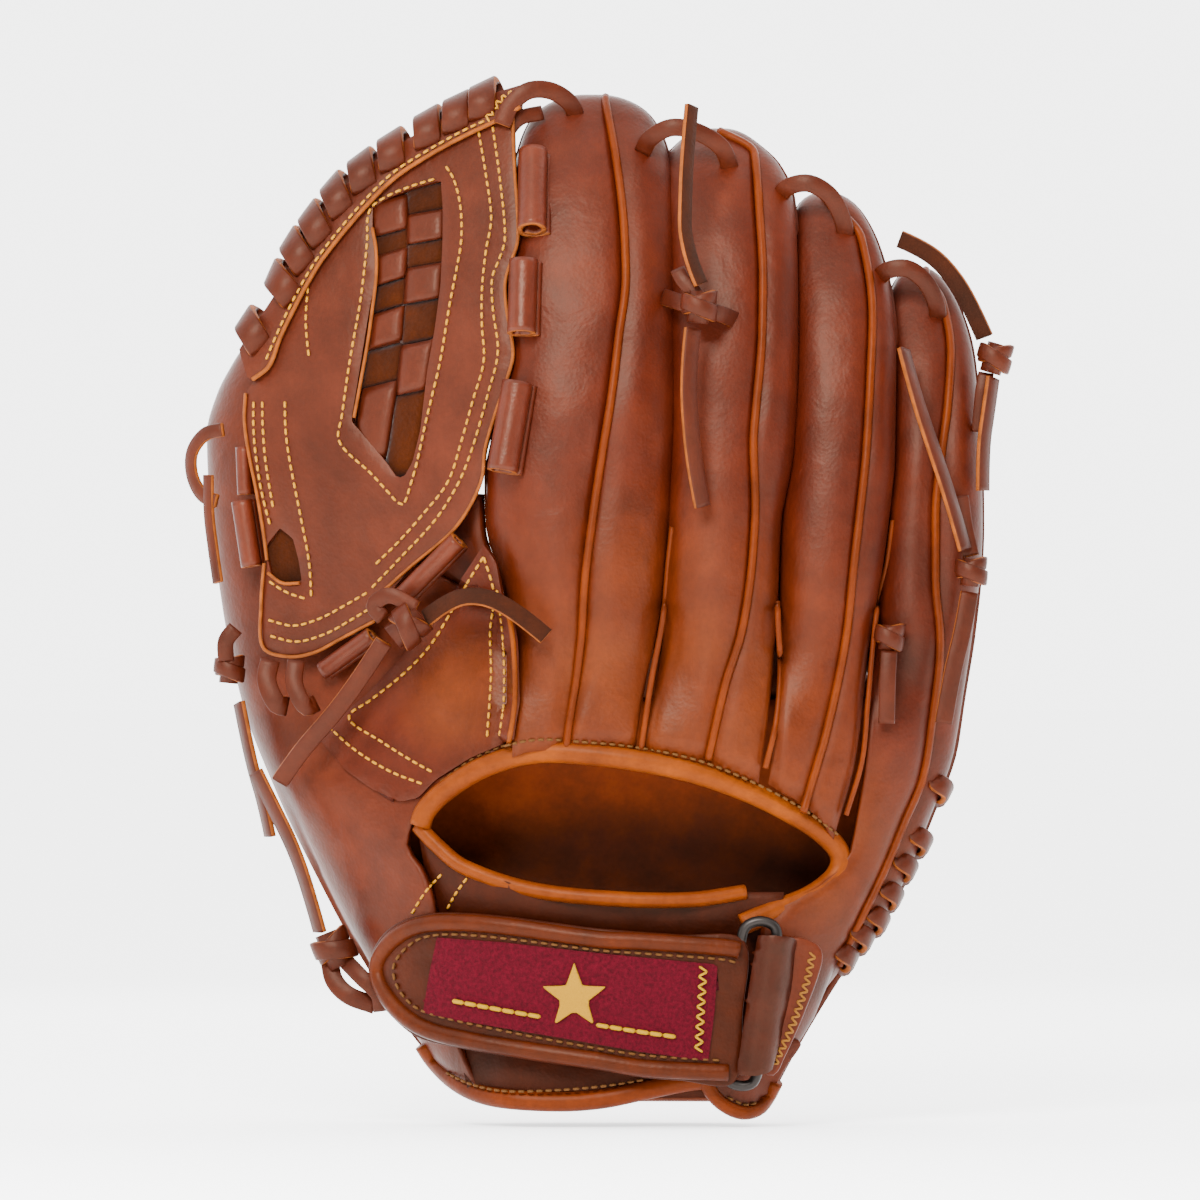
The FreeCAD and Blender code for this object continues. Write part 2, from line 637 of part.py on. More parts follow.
def wrist_parts():
    """Rim of the hand opening, wrist band, strap, ring and heel edge."""
    parts = {}
    rim = [(-63, -4), (-56, 9), (-40, 19.5), (-17, 24), (10, 23.5), (33, 17.5), (54, 8),
           (67.5, -6), (63, -19)]
    upper = tube([(x, rim_depth(x) - 1.5, z) for x, z in rim], BINDING_RADIUS)
    lip = [(-60, -11), (-48, -15.5), (-28, -20.5), (-6, -23), (16, -23.5), (38, -23)]
    lower = tube([(x, rim_depth(x) + 0.5, z) for x, z in lip], BINDING_RADIUS)
    parts["opening_binding"] = Part.makeCompound([upper, lower])
    band_outline = [(-58, -15.5), (-48, -19.5), (-28, -24.5), (-6, -27), (16, -27.5), (38, -27),
                    (42, -60), (-52, -60), (-58, -40)]
    parts["wrist_band"] = curved_plate(STRAP_CURVE, band_outline, LEATHER, 9.4)
    lining_outline = [(-54, -22), (-28, -28), (16, -31), (36, -31), (38, -56), (-48, -56)]
    parts["wrist_lining"] = curved_plate(STRAP_CURVE, lining_outline, 2.0, 12.4)
    base_outline = [(-57, -34), (-50, -31), (33, -37), (30, -66), (-50, -62), (-57, -52)]
    parts["strap_base"] = curved_plate(STRAP_CURVE, base_outline, LEATHER, 6.4)
    pad_outline = [(-56, -37), (-50, -35), (22, -41), (20, -62), (-50, -58), (-56, -50)]
    parts["strap_loop_pad"] = curved_plate(STRAP_CURVE, pad_outline, 1.3, 4.8)
    parts["strap_hook_pad"] = curved_plate(STRAP_CURVE, pad_outline, 1.3, 3.0)
    frame = curved_plate(STRAP_CURVE, STRAP_OUTLINE, STRAP_THICKNESS, -0.4)
    parts["strap_binding"] = frame.cut(prism(shrunk(STRAP_OUTLINE, 0.93, 0.82), -90, 90))
    parts["strap_tail"] = curved_plate(STRAP_CURVE, shrunk(STRAP_OUTLINE, 0.92, 0.8), STRAP_THICKNESS - 1.0)
    patch = [(-53, -36.5), (28, -42.5), (26, -70), (-57, -58)]
    parts["strap_patch"] = curved_plate(STRAP_CURVE, patch, 1.0, -1.5)
    parts["strap_emblem"] = curved_plate(STRAP_CURVE, star_outline(-14, -52, 9.0, 3.9), 0.7, -2.5)
    parts["strap_ring"] = strap_ring()
    parts["ring_keeper"] = ring_keeper()
    parts["heel_binding"] = tube(hand_rim_points(), BINDING_RADIUS)
    return parts


def hand_rim_points():
    """Lower edge of the palm heel, from the thumb side round the front to the other side."""
    row = HAND[0]
    points = []
    for angle in [168, 148, 122, 98, 78, 56, 32, 12]:
        point = section_point(row, angle, PALM_LEATHER / 2, HAND_POWER, fold)
        points.append((point.x, point.y, point.z - BINDING_RADIUS - 0.1))
    return points


def lace_parts():
    """Laces between the fingers, along the heel and the thumb, with their knots and free ends."""
    parts = {}
    bridges = [[(-33, -2, 227.6), (-28, -2, 230.5), (-19, 0, 229), (-14, 4, 223)],
               [(7, -9, 213), (13, -11, 218.5), (24, -11, 216), (31, -8, 209)],
               [(50, -7, 199), (57, -9, 202), (65, -7, 197), (70, -4, 191)],
               [(80, -4, 176), (87, -5, 178.5), (94, -2, 174), (98, 1, 168.5)]]
    parts["fingertip_laces"] = Part.makeCompound([tube(route, LACE_TUBE / 2) for route in bridges])
    for name, places in KNOTS.items():
        parts[name] = Part.makeCompound([ball_knot(place[:3], place[3]) for place in places])
    for name, route in TAIL_ROUTES.items():
        parts[name] = tube(route, LACE_TUBE / 2)
    turns = [(value_at(HAND, z, 2) + 4.4, value_at(HAND, z, 3) + fold(value_at(HAND, z, 2)), z)
             for z in [11, -4, -13, -21, -29, -37]]
    parts["heel_lacing"] = heel_lacing(turns, 3.2)
    thumb_route = [(-126, 21, 113), (-129.5, 21, 106), (-127.5, 20, 92), (-125, 20, 73)]
    parts["thumb_lace"] = tube(thumb_route, LACE_TUBE / 2)
    return parts


def save(parts):
    """Write one STEP file for each sub-part."""
    for name in sorted(parts):
        shape = parts[name]
        solids = shape.Solids
        volume = sum(solid.Volume for solid in solids)
        print(name, len(solids), "solids", "%.0f mm3" % volume, "valid" if shape.isValid() else "INVALID")
        shape.exportStep("parts/" + name + ".step")


save(make_parts())
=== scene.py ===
"""Looks of a right-hand fielding glove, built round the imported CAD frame.

Lengths are in millimetres until a mesh is made, then in metres. +X runs towards the little
finger, +Y out of the palm, +Z towards the fingertips.
"""
import math
import json

import bmesh
import bpy
import numpy as np
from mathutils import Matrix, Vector, noise
from mathutils.bvhtree import BVHTree
from mathutils.geometry import delaunay_2d_cdt

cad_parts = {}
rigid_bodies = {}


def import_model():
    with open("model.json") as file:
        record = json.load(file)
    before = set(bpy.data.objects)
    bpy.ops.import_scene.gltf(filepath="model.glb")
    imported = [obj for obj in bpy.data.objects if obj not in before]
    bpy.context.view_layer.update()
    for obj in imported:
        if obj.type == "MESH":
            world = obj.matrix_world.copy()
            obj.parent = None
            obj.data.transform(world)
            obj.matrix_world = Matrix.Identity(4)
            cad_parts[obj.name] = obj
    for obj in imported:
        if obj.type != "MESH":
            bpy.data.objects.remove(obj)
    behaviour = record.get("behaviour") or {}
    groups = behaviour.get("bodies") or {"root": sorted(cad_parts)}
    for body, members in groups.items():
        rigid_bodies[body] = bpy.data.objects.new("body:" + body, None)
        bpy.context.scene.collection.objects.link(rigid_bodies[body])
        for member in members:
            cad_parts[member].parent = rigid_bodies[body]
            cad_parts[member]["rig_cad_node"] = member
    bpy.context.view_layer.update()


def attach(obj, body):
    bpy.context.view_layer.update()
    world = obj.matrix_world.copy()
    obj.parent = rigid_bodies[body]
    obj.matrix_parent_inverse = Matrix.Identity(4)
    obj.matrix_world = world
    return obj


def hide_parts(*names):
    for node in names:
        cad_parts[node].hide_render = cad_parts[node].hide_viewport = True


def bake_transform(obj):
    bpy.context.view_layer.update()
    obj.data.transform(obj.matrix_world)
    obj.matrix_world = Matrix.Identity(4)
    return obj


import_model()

MM = 0.001
HAND_BODY = "hand"
THUMB_BODY = "thumb"
RING_BODY = "ring"
STRAP_BODY = "strap"

# Sections shared with the CAD model
FOLD_X = -34.0
FOLD_SLOPE = 0.42
PINKY_FOLD_X = 50.0
PINKY_FOLD_SLOPE = 0.25
LEAN_START_Z = 95.0
LEAN_TOP_Z = 217.0
LEAN_TOP = 23.5
FINGER_POWER = 2.6
HAND_POWER = 3.2
WEB_Y = -26.5
STALL_BLEND_LOW, STALL_BLEND_HIGH = 24.0, 80.0    # heights where the hand's back turns into fingers
SEAM_REACH = 2.8
SEAM_DRAWN_IN = 1.7
HIDE_THICKNESS = 2.4
PALM_THICKNESS = 3.0
LACE_THICKNESS = 1.9
LACE_STEP = 1.2
THREAD_RADIUS = 0.42
HEEL_Z = -84
HAND_TOP_Z = 56

# Height, left edge, right edge, depth of the centre, half depth; the last row is the tip
INDEX = [(0, -34, 4, -11, 20), (27, -34, 6.4, -12, 19.5), (57, -33.4, 12, -13, 20),
         (75, -36.5, 14.4, -13, 20), (91, -41, 16, -13, 19.5), (106, -41.5, 17, -12.5, 19),
         (120, -39, 17.8, -12, 19), (145, -36.5, 18.4, -9, 18.5), (175, -35.5, 18.2, -3, 17.5),
         (195, -34, 17.2, 3, 15.5), (207, -31.5, 15, 7, 13), (217, -27, 10, 10, 9),
         (224, -11, -6, 12, 0.6)]
MIDDLE = [(0, 4, 41, -11, 20), (25, 6.4, 45.2, -12, 19.5), (57, 11.4, 48.8, -12, 20),
          (91, 13.5, 50, -11.5, 19.5), (114, 14, 54, -10, 19), (145, 13.5, 55.5, -7, 18.5),
          (175, 12.5, 55.2, -1, 16.5), (192, 11.5, 53.8, 4, 14), (202, 12.5, 49.6, 7.5, 11),
          (209, 17.5, 42.5, 10, 7.5), (213.6, 28.5, 32, 11.5, 0.6)]
RING = [(-5, 41, 66, -7, 20), (20, 45.2, 73, -8, 18), (57, 47.4, 77.8, -8, 19),
        (91, 47.8, 82.8, -7, 18.5), (114, 50.2, 85, -5, 18), (145, 51, 85.4, -1, 17),
        (160, 50.6, 84.2, 3, 15.5), (175, 50.8, 80.8, 7, 12.5), (187, 53, 75.2, 10.5, 8.5),
        (193.8, 61, 65, 12.5, 0.6)]
PINKY = [(-84, 26, 46, -4, 21), (-66, 32, 57, -2, 22), (-43, 40, 72, 0, 22), (-28, 43, 83.4, 2, 21),
         (-17, 62, 90, 3, 20), (-9.5, 69.5, 93.6, 3, 20), (0, 71.5, 97.4, 2, 19.5),
         (22, 74.5, 105, 0, 19), (57, 76.5, 109.4, 1, 19), (91, 79.4, 111.8, 2, 18),
         (114, 80.8, 111.6, 4, 17), (130, 80.8, 110.6, 6.5, 16), (145, 80.6, 109, 9.5, 14),
         (157, 80.8, 105.6, 12.5, 10.5), (166, 84, 100.5, 14, 7), (171, 90.5, 93, 15, 0.6)]
THUMB = [(-84, -47, -32, -8, 21), (-66, -63, -44, -6, 22), (-43, -78.6, -50, -4, 24),
         (-25, -89, -58, -4, 24), (8.5, -105.6, -64, -4, 23), (38, -117, -69, -0.5, 20.5),
         (69, -123.4, -76, 2.5, 18.5), (99, -127.2, -83, 5, 17.5), (120, -128, -88, 6, 15.5),
         (132, -125, -92, 7, 12.5), (141, -120.5, -97, 8, 9.5),
         (147, -116.5, -103, 8, 6), (150.5, -111, -108, 8, 0.6)]
HAND = [(-84, -47, 46, -8, 21), (-66, -62, 56, -6, 24), (-43, -77, 70.5, -4, 26),
        (-25, -87, 84.5, -3, 27), (0, -99, 95.5, -4, 27), (24, -109, 104, -7, 25),
        (56, -119, 107.6, -10.5, 20)]

INDEX_WELT = [(0, -18), (27, -16), (44, -13.4), (59.5, -11.6), (71, -11), (94.5, -8.2), (116.5, -4.9),
              (132, -2.4), (149.5, -0.3), (167, 1.8), (183, 1.2), (202, -0.9), (222, -4.4)]
MIDDLE_WELT = [(0, 22), (23.2, 27.5), (44, 32.3), (59.5, 37.2), (81.4, 40.3), (98.5, 41.2), (116.5, 40.6),
               (128, 41.5), (149.5, 43.3), (167, 43.6), (186.7, 42.7), (206, 41.2), (213, 30)]
RING_WELT = [(-5, 53), (10.7, 57.6), (28.4, 62.8), (45.8, 66.8), (61.3, 69.5), (76.9, 71), (96, 73.2),
             (112.9, 75), (140, 76.6), (155.6, 77.2), (179.6, 74), (192, 63)]
PINKY_WELT = [(-84, 40), (-60, 60), (-40.6, 68), (-27.1, 74.5), (-13.7, 81), (0.6, 86.9), (14.6, 92.7),
              (29.9, 95.2), (55.8, 97.9), (75, 96.4), (94.5, 96.4), (112.9, 98.2), (128.4, 100.3),
              (145.5, 101.4), (160, 99), (168, 94)]
RIM = [(-63, -4), (-60.5, 3), (-56, 9), (-49, 14.5), (-40, 19.5), (-29, 22.6), (-17, 24), (-3, 24.2),
       (10, 23.5), (22, 21), (33, 17.5), (44, 13.2), (54, 8), (62, 1.5), (67.5, -6)]


def row_of(table, z, tip=None):
    """The table's row at a height. With a tip height, the shape rounds off towards it."""
    if tip is None:
        keys = [row[0] for row in table]
        key = z
    else:
        keys = [-math.sqrt(max(0.0, tip - row[0])) for row in table]
        key = -math.sqrt(max(0.0, tip - z))
    key = min(max(key, keys[0]), keys[-1])
    place = 0
    while place < len(table) - 2 and key > keys[place + 1]:
        place += 1
    span = keys[place + 1] - keys[place]
    part = (key - keys[place]) / span
    values = [z]
    for column in range(1, len(table[0])):
        slopes = []
        for end in (place, place + 1):
            if end == 0:
                slopes.append((table[1][column] - table[0][column]) / (keys[1] - keys[0]))
            elif end == len(table) - 1:
                slopes.append((table[-1][column] - table[-2][column]) / (keys[-1] - keys[-2]))
            else:
                before = (table[end][column] - table[end - 1][column]) / (keys[end] - keys[end - 1])
                after = (table[end + 1][column] - table[end][column]) / (keys[end + 1] - keys[end])
                slopes.append(0.0 if before * after <= 0 else 2 * before * after / (before + after))
        rise = table[place + 1][column] - table[place][column]
        bend = (1 - part) * slopes[0] * span - part * slopes[1] * span + rise * (2 * part - 1)
        values.append(table[place][column] + part * rise + part * (1 - part) * bend)
    return values


def smooth_step(value, low, high):
    """0 below low, 1 above high, smooth between."""
    part = min(1.0, max(0.0, (value - low) / (high - low)))
    return part * part * (3 - 2 * part)


def fold(x):
    """How far the two sides of the glove turn towards the palm."""
    return FOLD_SLOPE * max(0.0, FOLD_X - x) + PINKY_FOLD_SLOPE * max(0.0, x - PINKY_FOLD_X)


def lean(z):
    """How far the web leans towards the palm at a height."""
    part = max(0.0, z - LEAN_START_Z) / (LEAN_TOP_Z - LEAN_START_Z)
    return LEAN_TOP * part * part


def web_depth(x, z):
    """Back surface of the web."""
    return WEB_Y + lean(z) + FOLD_SLOPE * (FOLD_X - x)


def signed_power(value, exponent):
    return math.copysign(abs(value) ** exponent, value)


def section(row, angle, exponent, inset=0.0):
    """Point on a rounded section: 0 deg is +X, 90 deg the palm side, -90 deg the back."""
    z, left, right, depth, half = row
    width = max(0.2, (right - left) / 2 - inset)
    half = max(0.2, half - inset)
    x = (left + right) / 2 + width * signed_power(math.cos(math.radians(angle)), 2 / exponent)
    y = depth + half * signed_power(math.sin(math.radians(angle)), 2 / exponent)
    return np.array((x, y, z))


def angle_at(row, x, exponent, side=-1):
    """Angle where a section crosses x, on the back (-1) or the palm side (+1)."""
    share = (x - (row[1] + row[2]) / 2) / max(0.2, (row[2] - row[1]) / 2)
    share = max(-1.0, min(1.0, share))
    return side * math.degrees(math.acos(signed_power(share, exponent / 2)))


def hand_point(z, x, side=-1, inset=0.0):
    """Surface of the wide hand section at x, with the fold."""
    row = row_of(HAND, min(HAND_TOP_Z, max(HEEL_Z, z)))
    row[0] = z
    point = section(row, angle_at(row, x, HAND_POWER, side), HAND_POWER, inset)
    point[0] = x
    point[1] += fold(x)
    return point


def rim_height(x):
    """Height of the opening's upper edge at x."""
    if x <= RIM[0][0]:
        return RIM[0][1]
    for low, high in zip(RIM, RIM[1:]):
        if x <= high[0]:
            return low[1] + (high[1] - low[1]) * (x - low[0]) / (high[0] - low[0])
    return RIM[-1][1]


# ---------------------------------------------------------------- meshes

def new_object(name, vertices, faces, material=None):
    """Mesh object from millimetre vertices."""
    mesh = bpy.data.meshes.new(name)
    mesh.from_pydata([tuple(np.asarray(vertex) * MM) for vertex in vertices], [], faces)
    mesh.update()
    mesh.polygons.foreach_set("use_smooth", [True] * len(mesh.polygons))
    piece = bpy.data.objects.new(name, mesh)
    bpy.context.scene.collection.objects.link(piece)
    if material:
        mesh.materials.append(material)
    return piece


def grid_faces(rows, columns, flip=False, closed=False):
    faces = []
    last = columns if closed else columns - 1
    for row in range(rows - 1):
        for column in range(last):
            beside = (column + 1) % columns
            face = (row * columns + column, row * columns + beside,
                    (row + 1) * columns + beside, (row + 1) * columns + column)
            faces.append(face[::-1] if flip else face)
    return faces


def sheet_object(name, grid, material, thickness=0.0, flip=False):
    """Object from a grid of points, given a thickness inwards."""
    rows, columns = len(grid), len(grid[0])
    vertices = [point for line in grid for point in line]
    piece = new_object(name, vertices, grid_faces(rows, columns, flip), material)
    clean = bmesh.new()
    clean.from_mesh(piece.data)
    bmesh.ops.remove_doubles(clean, verts=clean.verts, dist=0.02 * MM)
    clean.to_mesh(piece.data)
    clean.free()
    if thickness:
        thicken(piece, thickness)
    return piece


def thicken(piece, thickness):
    """Give a sheet its leather thickness, in the mesh itself."""
    modifier = piece.modifiers.new("thickness", "SOLIDIFY")
    modifier.thickness = thickness * MM
    modifier.offset = -1.0
    modifier.use_rim = True
    modifier.use_even_offset = False
    apply_modifiers(piece)


def apply_modifiers(piece):
    """Bake the modifiers into the piece's mesh."""
    graph = bpy.context.evaluated_depsgraph_get()
    mesh = bpy.data.meshes.new_from_object(piece.evaluated_get(graph))
    piece.modifiers.clear()
    piece.data = mesh
    mesh.polygons.foreach_set("use_smooth", [True] * len(mesh.polygons))


def join(name, pieces):
    """One mesh from several, keeping their materials."""
    target = bmesh.new()
    materials = []
    for piece in pieces:
        offset = []
        for material in piece.data.materials:
            if material not in materials:
                materials.append(material)
            offset.append(materials.index(material))
        before = len(target.faces)
        target.from_mesh(piece.data)
        target.faces.ensure_lookup_table()
        for face in target.faces[before:]:
            face.material_index = offset[min(face.material_index, len(offset) - 1)] if offset else 0
        bpy.data.objects.remove(piece)
    mesh = bpy.data.meshes.new(name)
    target.to_mesh(mesh)
    target.free()
    for material in materials:
        mesh.materials.append(material)
    result = bpy.data.objects.new(name, mesh)
    bpy.context.scene.collection.objects.link(result)
    return result


def crumple(point, size, amount, seed=0.0):
    """Small soft unevenness of hide, along the depth direction."""
    value = noise.noise(Vector(point) / size + Vector((seed, 0, 0)))
    return amount * value


# ---------------------------------------------------------------- materials

HIDE_GAIN = (0.26, 0.090, 0.020)
SHINE_TINT = (1.0, 0.72, 0.55, 1)


def new_material(name):
    """A node material: itself, its nodes, its links and its shader."""
    material = bpy.data.materials.new(name)
    material.use_nodes = True
    nodes = material.node_tree.nodes
    return material, nodes, material.node_tree.links, nodes["Principled BSDF"]


def add_node(nodes, kind, **inputs):
    """A shader node with its inputs set. An underscore in an input's name stands for a space."""
    node = nodes.new("ShaderNode" + kind)
    for name, value in inputs.items():
        node.inputs[name.replace("_", " ")].default_value = value
    return node


def noise_node(nodes, links, place, **inputs):
    """Noise in the piece's own coordinates."""
    grain = add_node(nodes, "TexNoise", **inputs)
    links.new(place.outputs["Object"], grain.inputs["Vector"])
    return grain


def map_range(nodes, links, source, **inputs):
    """A value from the source, mapped to another range."""
    mapped = add_node(nodes, "MapRange", **inputs)
    links.new(source, mapped.inputs["Value"])
    return mapped


def colour_ramp(nodes, links, source, stops):
    """Colours for a value from the source, from (position, colour) stops."""
    ramp = nodes.new("ShaderNodeValToRGB")
    elements = ramp.color_ramp.elements
    for element, (position, colour) in ((elements[0], stops[0]), (elements[1], stops[-1])):
        element.position = position
        element.color = (*colour, 1)
    for position, colour in stops[1:-1]:
        elements.new(position).color = (*colour, 1)
    links.new(source, ramp.inputs["Fac"])
    return ramp


def bump_node(nodes, links, source, strength, distance):
    """Relief from a value."""
    relief = add_node(nodes, "Bump", Strength=strength, Distance=distance)
    links.new(source, relief.inputs["Height"])
    return relief


def oiled(tone):
    """A leather tone as it looks once oiled."""
    return [part * gain for part, gain in zip(tone, HIDE_GAIN)]


def leather_material(name, dark, mid, light, roughness, grain=1.0, burnish_and_shade=None, sheen=0.0, shine=0.22):
    """Oiled hide: mottled colour, a fine grain and soft creases."""
    material, nodes, links, shader = new_material(name)
    place = nodes.new("ShaderNodeTexCoord")
    cloud = noise_node(nodes, links, place, Scale=28.0, Detail=6.0, Roughness=0.62)
    stops = ((0.30, oiled(dark)), (0.52, oiled(mid)), (0.72, oiled(light)))
    colour = colour_ramp(nodes, links, cloud.outputs["Fac"], stops).outputs["Color"]
    if burnish_and_shade:
        colour = burnish_and_shade_colour(nodes, links, place, colour, burnish_and_shade)
    patina = noise_node(nodes, links, place, Scale=110.0, Detail=9.0, Roughness=0.7)
    worn = map_range(nodes, links, patina.outputs["Fac"], From_Min=0.3, From_Max=0.7, To_Min=0.82,
                     To_Max=1.16)
    aged = nodes.new("ShaderNodeVectorMath")
    aged.operation = "SCALE"
    links.new(colour, aged.inputs["Vector"])
    links.new(worn.outputs["Result"], aged.inputs["Scale"])
    speck = noise_node(nodes, links, place, Scale=700.0, Detail=3.0)
    shade = nodes.new("ShaderNodeMix")
    shade.data_type = "RGBA"
    shade.blend_type = "MULTIPLY"
    shade.inputs["Factor"].default_value = 0.35
    links.new(aged.outputs["Vector"], shade.inputs["A"])
    links.new(speck.outputs["Fac"], shade.inputs["B"])
    links.new(shade.outputs["Result"], shader.inputs["Base Color"])
    pore = add_node(nodes, "TexVoronoi", Scale=900.0)
    links.new(place.outputs["Object"], pore.inputs["Vector"])
    crease = noise_node(nodes, links, place, Scale=90.0, Detail=5.0, Distortion=0.6)
    fine = bump_node(nodes, links, pore.outputs["Distance"], 0.10 * grain, 0.0005)
    soft = bump_node(nodes, links, crease.outputs["Fac"], 0.36 * grain, 0.0012)
    links.new(fine.outputs["Normal"], soft.inputs["Normal"])
    links.new(soft.outputs["Normal"], shader.inputs["Normal"])
    rough = map_range(nodes, links, cloud.outputs["Fac"], To_Min=roughness - 0.07, To_Max=roughness + 0.09)
    links.new(rough.outputs["Result"], shader.inputs["Roughness"])
    shader.inputs["Specular IOR Level"].default_value = shine
    shader.inputs["Specular Tint"].default_value = SHINE_TINT
    shader.inputs["Sheen Weight"].default_value = sheen
    shader.inputs["Sheen Roughness"].default_value = 0.5
    return material


def burnish_and_shade_colour(nodes, links, place, colour, burnish_and_shade):
    """Mix a second tone in round a centre, broken up by noise: a rubbed tone on the shell, pinky and gusset leather,
    and painted shade on the lining.
    """
    tone, centre, inner, outer, broken = burnish_and_shade
    apart = nodes.new("ShaderNodeVectorMath")
    apart.operation = "DISTANCE"
    apart.inputs[1].default_value = centre
    links.new(place.outputs["Object"], apart.inputs[0])
    fade = map_range(nodes, links, apart.outputs["Value"], From_Min=inner, From_Max=outer, To_Min=0.8,
                     To_Max=0.0)
    fade.interpolation_type = "SMOOTHSTEP"
    patchy = noise_node(nodes, links, place, Scale=40.0, Detail=4.0)
    share = map_range(nodes, links, patchy.outputs["Fac"], From_Min=0.5 - broken, From_Max=0.5 + broken,
                      To_Min=1 - 3 * broken)
    both = nodes.new("ShaderNodeMath")
    both.operation = "MULTIPLY"
    links.new(fade.outputs["Result"], both.inputs[0])
    links.new(share.outputs["Result"], both.inputs[1])
    mix = nodes.new("ShaderNodeMix")
    mix.data_type = "RGBA"
    mix.inputs["B"].default_value = (*oiled(tone), 1)
    links.new(both.outputs["Value"], mix.inputs["Factor"])
    links.new(colour, mix.inputs["A"])
    return mix.outputs["Result"]


ORANGE = (0.45, 0.20, 0.008)
shell_leather = leather_material("shell_leather", (0.135, 0.030, 0.010), (0.215, 0.055, 0.021),
                                 (0.30, 0.095, 0.042), 0.46,
                                 burnish_and_shade=(ORANGE, (0.005, -0.03, 0.018), 0.030, 0.105, 0.22))
# Painted highlight: a lighter, pinker copy of the shell leather for the thumb side, standing in for the soft highlight
# that falls there.
thumb_leather_painted_highlight = leather_material("thumb_leather_painted_highlight", (0.16, 0.048, 0.028), (0.25, 0.082, 0.048),
                                 (0.34, 0.125, 0.075), 0.44)
pinky_leather = leather_material("pinky_leather", (0.115, 0.025, 0.008), (0.20, 0.050, 0.018),
                                 (0.28, 0.085, 0.034), 0.48, burnish_and_shade=(ORANGE, (0.052, -0.02, -0.005), 0.012,
                                         0.05, 0.22))
binding_leather = leather_material("binding_leather", (0.42, 0.19, 0.010), (0.62, 0.32, 0.016),
                                   (0.84, 0.47, 0.024), 0.45, grain=0.8, shine=0.14)
welt_leather = leather_material("welt_leather", (0.26, 0.10, 0.012), (0.42, 0.17, 0.020),
                                (0.56, 0.25, 0.03), 0.45, grain=0.8, shine=0.14)
lace_leather = leather_material("lace_leather", (0.12, 0.034, 0.018), (0.17, 0.052, 0.028),
                                (0.23, 0.08, 0.045), 0.48, grain=0.7)
# Painted shade: the lining's second tone darkens it towards the bottom of the opening, standing in for the shadow
# under the lip.
lining_leather = leather_material("lining_leather", (0.38, 0.135, 0.014), (0.58, 0.22, 0.022),
                                  (0.76, 0.32, 0.034), 0.62, shine=0.12,
                                  burnish_and_shade=((0.02, 0.008, 0.002), (0.006, 0.02, -0.30), 0.288, 0.318, 0.05))
suede = leather_material("suede", (0.06, 0.032, 0.008), (0.12, 0.062, 0.016),
                         (0.20, 0.10, 0.03), 0.92, grain=2.6, sheen=0.1, shine=0.05)
# Partly a darker leather, partly painted shade: the darkness stands in for the shadow in the wrist band's recess below
# the lip.
wrist_leather_painted_shade = leather_material("wrist_leather_painted_shade", (0.075, 0.025, 0.007), (0.12, 0.040, 0.012),
                                 (0.175, 0.065, 0.02), 0.5, shine=0.14)
strap_leather = leather_material("strap_leather", (0.080, 0.027, 0.011), (0.125, 0.044, 0.017),
                                 (0.175, 0.064, 0.026), 0.44, shine=0.15)
strap_binding_leather = leather_material("strap_binding_leather", (0.14, 0.050, 0.012),
        (0.21, 0.080, 0.018),
                                         (0.30, 0.12, 0.03), 0.42, shine=0.15)
web_leather = leather_material("web_leather", (0.15, 0.056, 0.060), (0.21, 0.082, 0.095),
                               (0.28, 0.115, 0.14), 0.45)
band_leather = leather_material("band_leather", (0.15, 0.045, 0.04), (0.215, 0.074, 0.065),
                                (0.29, 0.115, 0.10), 0.46)
roll_leather = leather_material("roll_leather", (0.18, 0.052, 0.034), (0.26, 0.086, 0.09),
                                (0.34, 0.125, 0.13), 0.40, shine=0.3)
keeper_leather = leather_material("keeper_leather", (0.07, 0.022, 0.013), (0.11, 0.035, 0.022),
                                  (0.16, 0.055, 0.036), 0.42)
gusset_leather = leather_material("gusset_leather", (0.12, 0.03, 0.012), (0.20, 0.052, 0.02),
                                  (0.28, 0.085, 0.03), 0.42, burnish_and_shade=((0.60, 0.30, 0.016),
                                  (-0.055, -0.03, 0.042), 0.006, 0.03, 0.2))
tail_suede = leather_material("tail_suede", (0.05, 0.022, 0.012), (0.09, 0.04, 0.022), (0.14, 0.065, 0.036),
                              0.9, grain=2.0)


# ---------------------------------------------------------------- finger backs and palm

def dip(distance):
    """How far leather is drawn in beside a seam."""
    return SEAM_DRAWN_IN * math.exp(-(distance / SEAM_REACH) ** 2)


def back_point(table, welt, outer, part, z, seam=True):
    """Point of a finger's back: part 0 is the panel's thumb-side edge, 1 its little-finger edge."""
    tip = table[-1][0]
    row = row_of(table, z, tip)
    welt_x = row_of(welt, z)[1]
    welt_x = min(max(welt_x, row[1] + 0.3), row[2] - 0.3)
    seam_angle = angle_at(row, welt_x, FINGER_POWER)
    start, end = (seam_angle, -1.0) if outer else (-179.0, seam_angle)
    finger = section(row, start + (end - start) * part, FINGER_POWER)
    share = smooth_step(z, STALL_BLEND_LOW, STALL_BLEND_HIGH)
    low_x, high_x = (welt_x, row[2]) if outer else (row[1], welt_x)
    if share < 1:
        hand_row = row_of(HAND, min(HAND_TOP_Z, max(HEEL_Z, z)))
        hand_row[0] = z
        first = angle_at(hand_row, low_x, HAND_POWER)
        last = angle_at(hand_row, high_x, HAND_POWER)
        hand = section(hand_row, first + (last - first) * part, HAND_POWER)
        hand[1] += fold(hand[0])
        point = hand * (1 - share) + finger * share
    else:
        point = finger
    if seam:
        width = abs(high_x - low_x) + 6 * share
        inward = np.array(((row[1] + row[2]) / 2 - point[0], row[3] - point[1], 0.0))
        inward /= max(1e-6, np.linalg.norm(inward))
        shrink = min(1.0, (tip - z) / 20)
        point = point + inward * shrink * (dip(part * width) + dip((1 - part) * width))
    point[1] += crumple(point, 17.0, 0.7) + crumple(point, 6.0, 0.15, 4.0)
    return point


